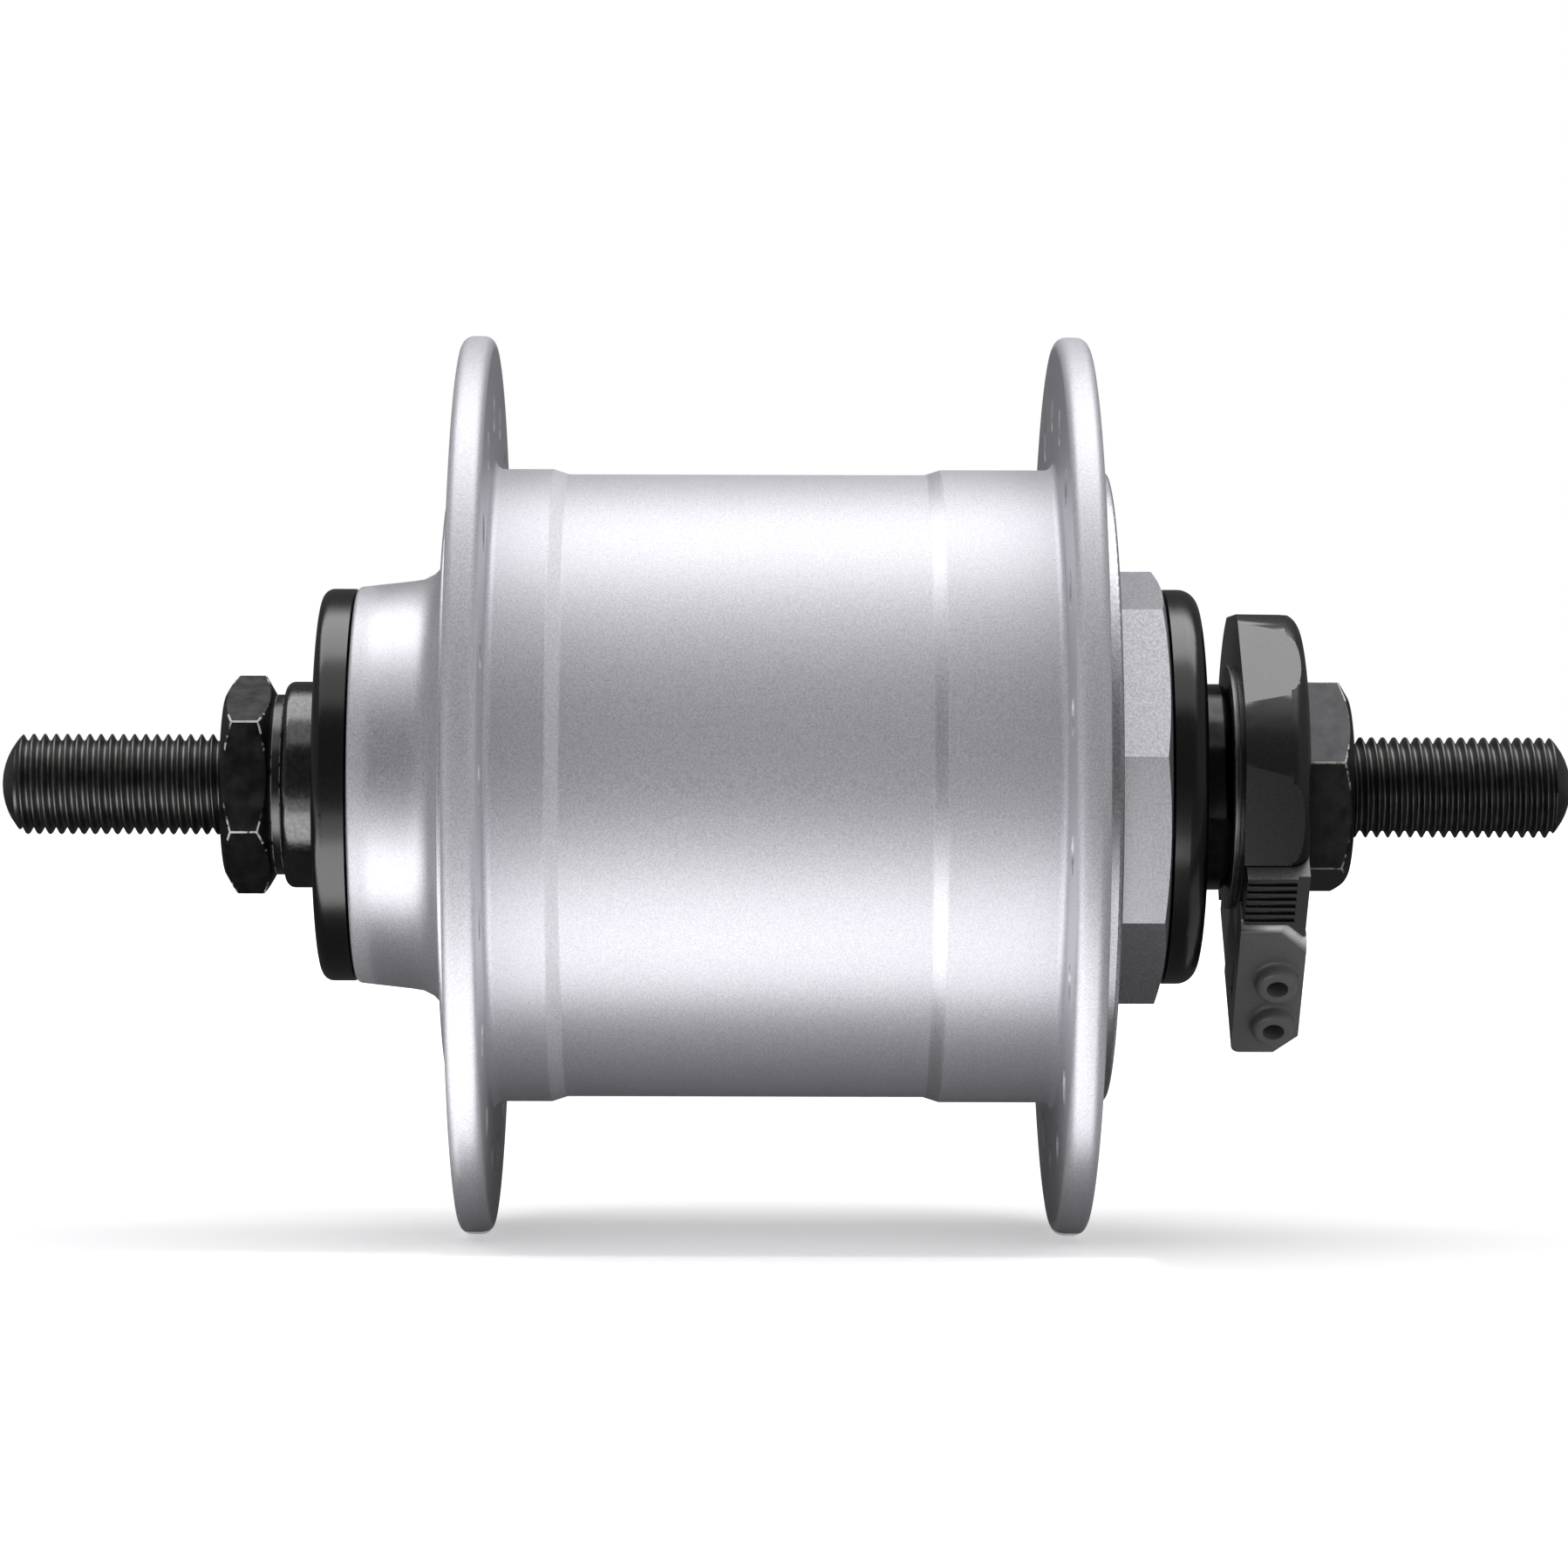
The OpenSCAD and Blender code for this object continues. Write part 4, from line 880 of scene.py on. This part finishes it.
# The countersinks' cutters reach this far past the flange's faces.
over = 0.5 * MM
known = dict(given.outputs.items())
for name, operation, *terms in (
        ("circle", "MULTIPLY", "Circle Radius", MM),
        ("bar", "MULTIPLY", "Hole Radius", MM),
        ("sink", "MULTIPLY", "Sink Radius", MM),
        ("half", "MULTIPLY", "Thickness", MM / 2),
        ("bar length", "MULTIPLY", "half", 4),
        ("rise", "SUBTRACT", "sink", "bar"),
        ("cone length", "ADD", "rise", 2 * over),
        ("cone tip", "SUBTRACT", "bar", over),
        ("cone foot", "ADD", "sink", over),
        ("face", "ADD", "half", over),
        ("low face", "MULTIPLY", "face", -1),
        ("turned by", "MULTIPLY", "First Turn", -1),
        ("moved to", "MULTIPLY", "Station", -MM)):
    inputs = {i: known.get(term, term) for i, term in enumerate(terms)}
    known[name] = add(drill_tree, "ShaderNodeMath", inputs, operation=operation).outputs[0]
circle = add(drill_tree, "GeometryNodeMeshCircle", {"Vertices": known["Count"],
                                                    "Radius": known["circle"]})
bar = add(drill_tree, "GeometryNodeMeshCylinder", {
    "Vertices": 32, "Radius": known["bar"], "Depth": known["bar length"]})
cone = add(drill_tree, "GeometryNodeMeshCone", {
    "Vertices": 32, "Radius Top": known["cone tip"], "Radius Bottom": known["cone foot"],
    "Depth": known["cone length"]})
low = add(drill_tree, "GeometryNodeTransform", {
    "Geometry": cone.outputs["Mesh"],
    "Translation": add(drill_tree, "ShaderNodeCombineXYZ", {"Z": known["low face"]}).outputs[0]})
high = add(drill_tree, "GeometryNodeTransform", {
    "Geometry": low.outputs[0], "Rotation": (math.pi, 0, 0)})
cutter = add(drill_tree, "GeometryNodeMeshBoolean", operation="UNION")
for shape in (bar.outputs["Mesh"], low.outputs[0], high.outputs[0]):
    drill_tree.links.new(shape, cutter.inputs["Mesh 2"])
spread_out = add(drill_tree, "GeometryNodeInstanceOnPoints", {
    "Points": circle.outputs[0], "Instance": cutter.outputs[0]})
laid = add(drill_tree, "GeometryNodeTransform", {
    "Geometry": spread_out.outputs[0],
    "Rotation": add(drill_tree, "ShaderNodeCombineXYZ", {
        "X": math.pi / 2, "Y": known["turned by"]}).outputs[0],
    "Translation": add(drill_tree, "ShaderNodeCombineXYZ", {"Y": known["moved to"]}).outputs[0]})
ready_cutters = add(drill_tree, "GeometryNodeRealizeInstances", {"Geometry": laid.outputs[0]})
drilled = add(drill_tree, "GeometryNodeMeshBoolean", {
    "Mesh 1": known["Mesh"], "Mesh 2": ready_cutters.outputs[0]}, operation="DIFFERENCE")
finish_tree(drill_tree, drilled.outputs[0], shell_silver, result)
print("drill tree nodes:", len(drill_tree.nodes))

# %% Shell profile and drilling
flange_r, rim_round = 40.0, 1.0
left_flange = (-28.85, -25.95)
right_flange = (23.65, 26.55)
band_r, barrel_r, bore_r = 28.2, 27.75, 25.9
boss_r, boss_at = 26.5, -30.0
nose_r, nose_root_r, cup_r, cup_floor = 17.65, 18.2, 13.02, -29.2
web_at, web_r, passage_r, shoulder_at = -26.6, 23.9, 10.0, -19.0
# From the nose round the outside to the right end, and back through the bore.
shell_profile = rounded([
    (cup_r, shell_ends[0], 0.1), (nose_r, shell_ends[0], 0.45), (nose_root_r, -33.3, 0),
    (nose_root_r, boss_at, 3.3), (boss_r, boss_at, 0.35), (boss_r, left_flange[0], 0.3),
    (flange_r, left_flange[0], rim_round), (flange_r, left_flange[1], rim_round),
    (band_r, left_flange[1], 0.8), (band_r, -20.8, 0.35), (barrel_r, -19.4, 0.5),
    (barrel_r, 12.2, 0.5), (band_r, 13.6, 0.35), (band_r, right_flange[0], 0.8),
    (flange_r, right_flange[0], rim_round), (flange_r, right_flange[1], rim_round),
    (bore_r, right_flange[1], 0.2), (bore_r, shoulder_at, 0), (web_r, shoulder_at, 0),
    (web_r, web_at, 0), (passage_r, web_at, 0), (passage_r, cup_floor, 0),
    (cup_r, cup_floor, 0)])
turned = lathe("turned_shell", lambda k: shell_profile, 288)
hole = {"Count": 18, "Circle Radius": 33.3, "Hole Radius": 1.3, "Sink Radius": 1.7,
        "Thickness": 2.9}
for place, first in ((sum(left_flange) / 2, 180), (sum(right_flange) / 2, 170)):
    turned = grow("drilled_shell", drill_tree, {**hole, "Station": place,
                                                "First Turn": math.radians(first)}, turned)
stand_for(new_piece("shell_drilled", turned, shell_silver), "hub_shell")
print("shell faces:", len(turned.polygons))

# %% [markdown]
# ## Locknuts
# The locknuts are hexagon bar, cut off and chamfered at 30 degrees. A cone that meets a
# hexagon leaves a curve on every flat. The radius of a hexagon at any angle is known, so the
# nut is spun like the shell, from a profile that changes with the angle. Bevels on a plain
# hexagon would give straight edges instead of the curves.

# %% Hexagon nuts
nut_af, nut_face_r, nut_chamfer = 17.0, 8.0, 30
per_flat = 24


def nut_profile(k, low, high, chamfers, bore_r):
    """A nut's outline at one of its angles, the first at a corner, with its end chamfers."""
    r = nut_af / 2 / math.cos((k % per_flat / per_flat - 0.5) * math.pi / 3)
    cut = (r - nut_face_r) * math.tan(math.radians(nut_chamfer))
    return [Vector(point) for point in (
        (bore_r, low), (nut_face_r, low), (r, low + cut * chamfers[0]),
        (r, high - cut * chamfers[1]), (nut_face_r, high), (bore_r, high))]


for node, chamfers in (("left_locknut", (1, 1)), ("right_locknut", (0, 1))):
    ends, widest = stations(node), radius_of(node)
    points = [vert.co.xz / MM for vert in frame["nodes"][node].data.vertices]
    corners = [math.atan2(p.y, p.x) for p in points if p.length > widest - 0.3]
    first = math.atan2(sum(math.sin(6 * turn) for turn in corners),
                       sum(math.cos(6 * turn) for turn in corners)) / 6
    nut_bore = min(p.length for p in points)
    nut = bmesh.new()
    nut.from_mesh(lathe(node, lambda k: nut_profile(k, *ends, chamfers, nut_bore),
                        6 * per_flat, first))
    broken_edges(node, nut_black, 0.12, shape=nut)
    print(node, "corner at", round(math.degrees(first), 1), "bore radius", round(nut_bore, 2))

# %% [markdown]
# ## Milled, pressed and moulded pieces
# The cones, the washers and the end cap are cut from bar or forged, and their edges are
# broken by tumbling, by about a tenth to a fifth of a millimetre. The connector's pieces
# come out of a mould, whose edges are about as round. The bevels catch the light as thin
# bright lines, which is most of what tells a real edge from a drawn one.

# %% Pieces with broken edges
for node, surface, width in (
        ("left_spacer", spacer_dark, 0.12), ("left_cone", cone_dark, 0.14),
        ("right_cone", cone_steel_painted_darker, 0.14), ("ground_washer", washer_steel, 0.08),
        ("end_cap", cap_silver, 0.20), ("connector_housing", body_black, 0.25),
        ("plug_body", body_black, 0.12)):
    broken_edges(node, surface, width)

# %% [markdown]
# ## The plug's cap
# The cap is a small grey moulding whose face edges are rounded by almost a millimetre, and
# whose two wire inlets have rounded rims and a fillet at their foot. Those roundings are what
# shows, so they are made first, edge by edge, and the other edges get a small break after.

# %% Plug cap
# The cap faces down and forwards. Its plug is pulled off at a right angle to that.
plug_turn = math.radians(223.5)
outward = Vector((math.cos(plug_turn), math.sin(plug_turn)))
pull = Vector((-math.sin(plug_turn), math.cos(plug_turn)))
inlet_r, inlet_rise = 1.9, 1.3
# The first size is where the face's wide rounding ends, and the other two bound the cap's painted
# highlight, in mm.
soft_until, painted_highlight_until, painted_highlight_from_height = 3.5, 4, 15
cap_points = [vert.co / MM for vert in frame["nodes"]["plug_cap"].data.vertices]
rim_height = max(point.xz.dot(outward) for point in cap_points)
face_height = rim_height - inlet_rise
rim_points = [point for point in cap_points if point.xz.dot(outward) > rim_height - 0.01]
along_pull = [point.xz.dot(pull) for point in rim_points]
inlet_y = sum(point.y for point in rim_points) / len(rim_points)
inlet_centres = [Vector((t, inlet_y))
                 for t in (min(along_pull) + inlet_r, max(along_pull) - inlet_r)]


def at_height(edge, height):
    """Whether an edge lies at a height over the axle, along the cap's outward direction."""
    return all(abs(vert.co.xz.dot(outward) / MM - height) < 0.02 for vert in edge.verts)


def of_inlet(edge):
    """Whether an edge runs round one of the two inlets."""
    places = [Vector((vert.co.xz.dot(pull), vert.co.y)) / MM for vert in edge.verts]
    return any(all(abs((place - centre).length - inlet_r) < 0.1 for place in places)
               for centre in inlet_centres)


def of_face(edge):
    """Whether an edge is of the face's outline, at its end towards the connector."""
    return (at_height(edge, face_height) and not of_inlet(edge)
            and all(vert.co.xz.dot(pull) / MM < soft_until for vert in edge.verts))


finished_cap = broken_edges("plug_cap", cover_grey, 0.2, soft=(
    (of_face, 0.80),
    (lambda edge: at_height(edge, rim_height) and of_inlet(edge), 0.45),
    (lambda edge: at_height(edge, face_height) and of_inlet(edge), 0.35)))
# A painted highlight: faces near the cap's upper edge that look upwards get a share of up to 1,
# and there the grey finish is mixed towards near white, in place of the lamp's light.
wear_and_painted_highlight = finished_cap.data.attributes.new("wear_and_painted_highlight", "FLOAT", "FACE")
for face in finished_cap.data.polygons:
    upwards = 1.5 * face.normal.xz.dot(-pull)
    at_top = (face.center.xz.dot(pull) / MM < painted_highlight_until
              and face.center.xz.dot(outward) / MM > painted_highlight_from_height)
    wear_and_painted_highlight.data[face.index].value = min(1.0, max(0.0, upwards)) if at_top else 0.0
print("cap face at", round(face_height, 2), "inlet rims at", round(rim_height, 2))
